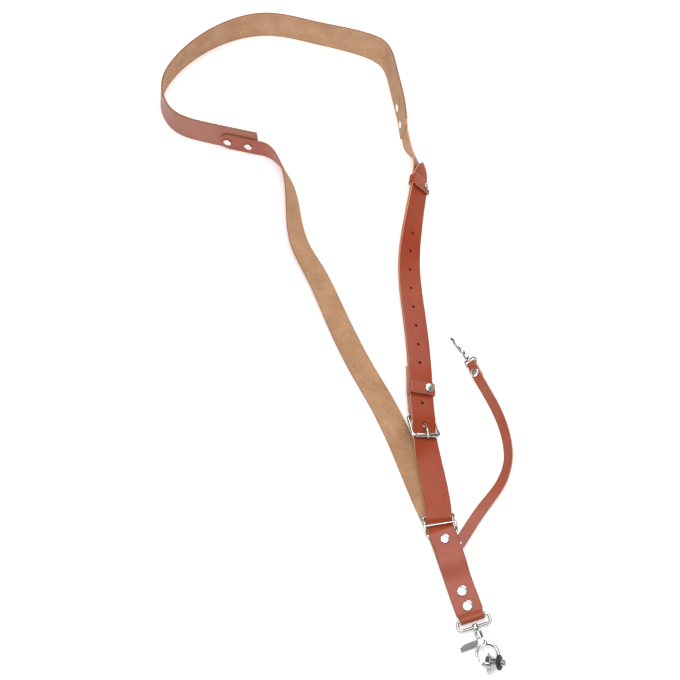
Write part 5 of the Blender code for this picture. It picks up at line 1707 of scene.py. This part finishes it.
put(clasp_loop, "strap", ["clasp_eye"])

start = clasp_eye_length + 0.0022
profile = [(0.0, start + 0.0038), (0.0017, start + 0.0038), (0.0017, start + 0.0018), (0.0012, start + 0.0018),
           (0.0012, start), (0.0023, start), (0.0027, start + 0.0005), (0.0027, start + 0.0042),
           (0.0020, start + 0.0050), (0.0, start + 0.0050)]
base = start + 0.0046
high = clasp_height / 2.0 - 0.0012
tip = clasp_length + 0.0030
rows = [(base, 0.0), (base + 0.0025, high * 0.8), (base + 0.006, high), (base + 0.010, high * 0.85),
        (tip - 0.0022, high * 0.45), (tip, -high * 0.25), (tip - 0.0016, -high * 0.8)]
arm = swept([clasp_seat(x, 0.0, z) for x, z in rows], [0.0016, 0.0016, 0.0015, 0.0014, 0.0013, 0.0012, 0.0010],
            clasp_seat.y, sides=24, squash=1.1, tips=(False, True))
clasp = fitting("clasp_casting", clasp_nickel, [lathe(profile, clasp_seat(0.0, 0.0, 0.0), clasp_seat.x, 40), arm])
put(clasp, "clasp", ["clasp_body"])

low = -high
base = start + 0.0068
rows = [(base, low * 0.9), (base + 0.003, low), (base + 0.007, low), (tip - 0.0048, low * 0.85)]
gate = swept([clasp_seat(x, 0.0, z) for x, z in rows], [0.0008, 0.0011, 0.0011, 0.0010], clasp_seat.y,
             sides=20, squash=1.2)
clasp_gate = fitting("clasp_gate_lever", clasp_nickel, [gate])
put(clasp_gate, "clasp_gate", ["clasp_lever"])
print("Clasp pieces:", [thing.name for thing in (clasp_loop, clasp, clasp_gate)])

# %% [markdown]
# Every rivet has a domed cap with a thin rim, a post through the plies and a flat back. The
# caps on the tab are the largest.

# %%
# Rivets
def rivet(node, route, s, a, low, high, cap, rise=cap_rise, back=back_rise, side=1.0):
    """A rivet through the plies between two heights off the route, in place of its CAD node."""
    place, along, across, face = route.frame(s)
    origin = place + across * a
    top = (high if side > 0.0 else -low) + ply_gap
    base = (low if side > 0.0 else -high) - ply_gap
    rim = 0.00025
    dome = [(cap * math.sin(t), top + rim + (rise - rim) * math.cos(t) ** 0.55)
            for t in np.radians(np.linspace(86, 4, 12))]
    foot = [(0.0, 1.0), (0.60, 0.92), (0.86, 0.62), (0.97, 0.0)]
    profile = [(share * cap, base - drop * back) for share, drop in foot]
    profile += [(post_radius, base), (post_radius, top), (cap, top)] + dome + [(0.0, top + rise)]
    thing = fitting(node + "_cap", rivet_nickel, [lathe(profile, origin, face * side, 44, ease=0.00012)], 40.0)
    return put(thing, "strap", [node])


outer = strap_wall / 2.0
band_side = outer + ply_gap + band_wall
for k in range(2):
    rivet("left_rivet_%d" % (k + 1), left, left_rivet(k), 0.0, -outer, band_side, small_cap, back=cap_rise, side=-1.0)
    rivet("right_rivet_%d" % (k + 1), right_route, right_rivet(k), 0.0, -band_side, outer, small_cap,
          back=cap_rise, side=-1.0)
tab_rows = zip(tab_rivet_marks(), (tab_open, tab_closed, tab_closed), (small_cap, large_cap, large_cap))
for k, (mark, high, cap) in enumerate(tab_rows):
    rivet("tab_rivet_%d" % (k + 1), left, mark, 0.0, -outer, high + outer, cap)
half = tether_wall / 2.0
rivet("tether_rivet_1", left, tether_rivet_mark, tether_rivet_across, -outer, outer + ply_gap + tether_wall, small_cap)
rivet("tether_rivet_2", tether, tether_rivet_up, 0.0, -(3.0 * half + ply_gap), half, small_cap)
rivet("return_rivet", right_route, return_rivet_mark, 0.0, return_height - outer, outer, small_cap, rise=back_rise)
for node, mark, high in zip(keeper_nodes, keeper_marks, keeper_tops):
    rivet(node + "_rivet", right_route, mark, keeper_rivet_across, high - keeper_wall / 2.0,
          high + ply_gap + 1.5 * keeper_wall, small_cap)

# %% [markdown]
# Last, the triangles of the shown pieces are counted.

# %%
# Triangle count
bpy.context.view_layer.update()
triangles = 0
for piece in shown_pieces():
    if piece.type == "MESH":
        triangles += sum(len(polygon.vertices) - 2 for polygon in piece.data.polygons)
print("Triangles:", triangles)
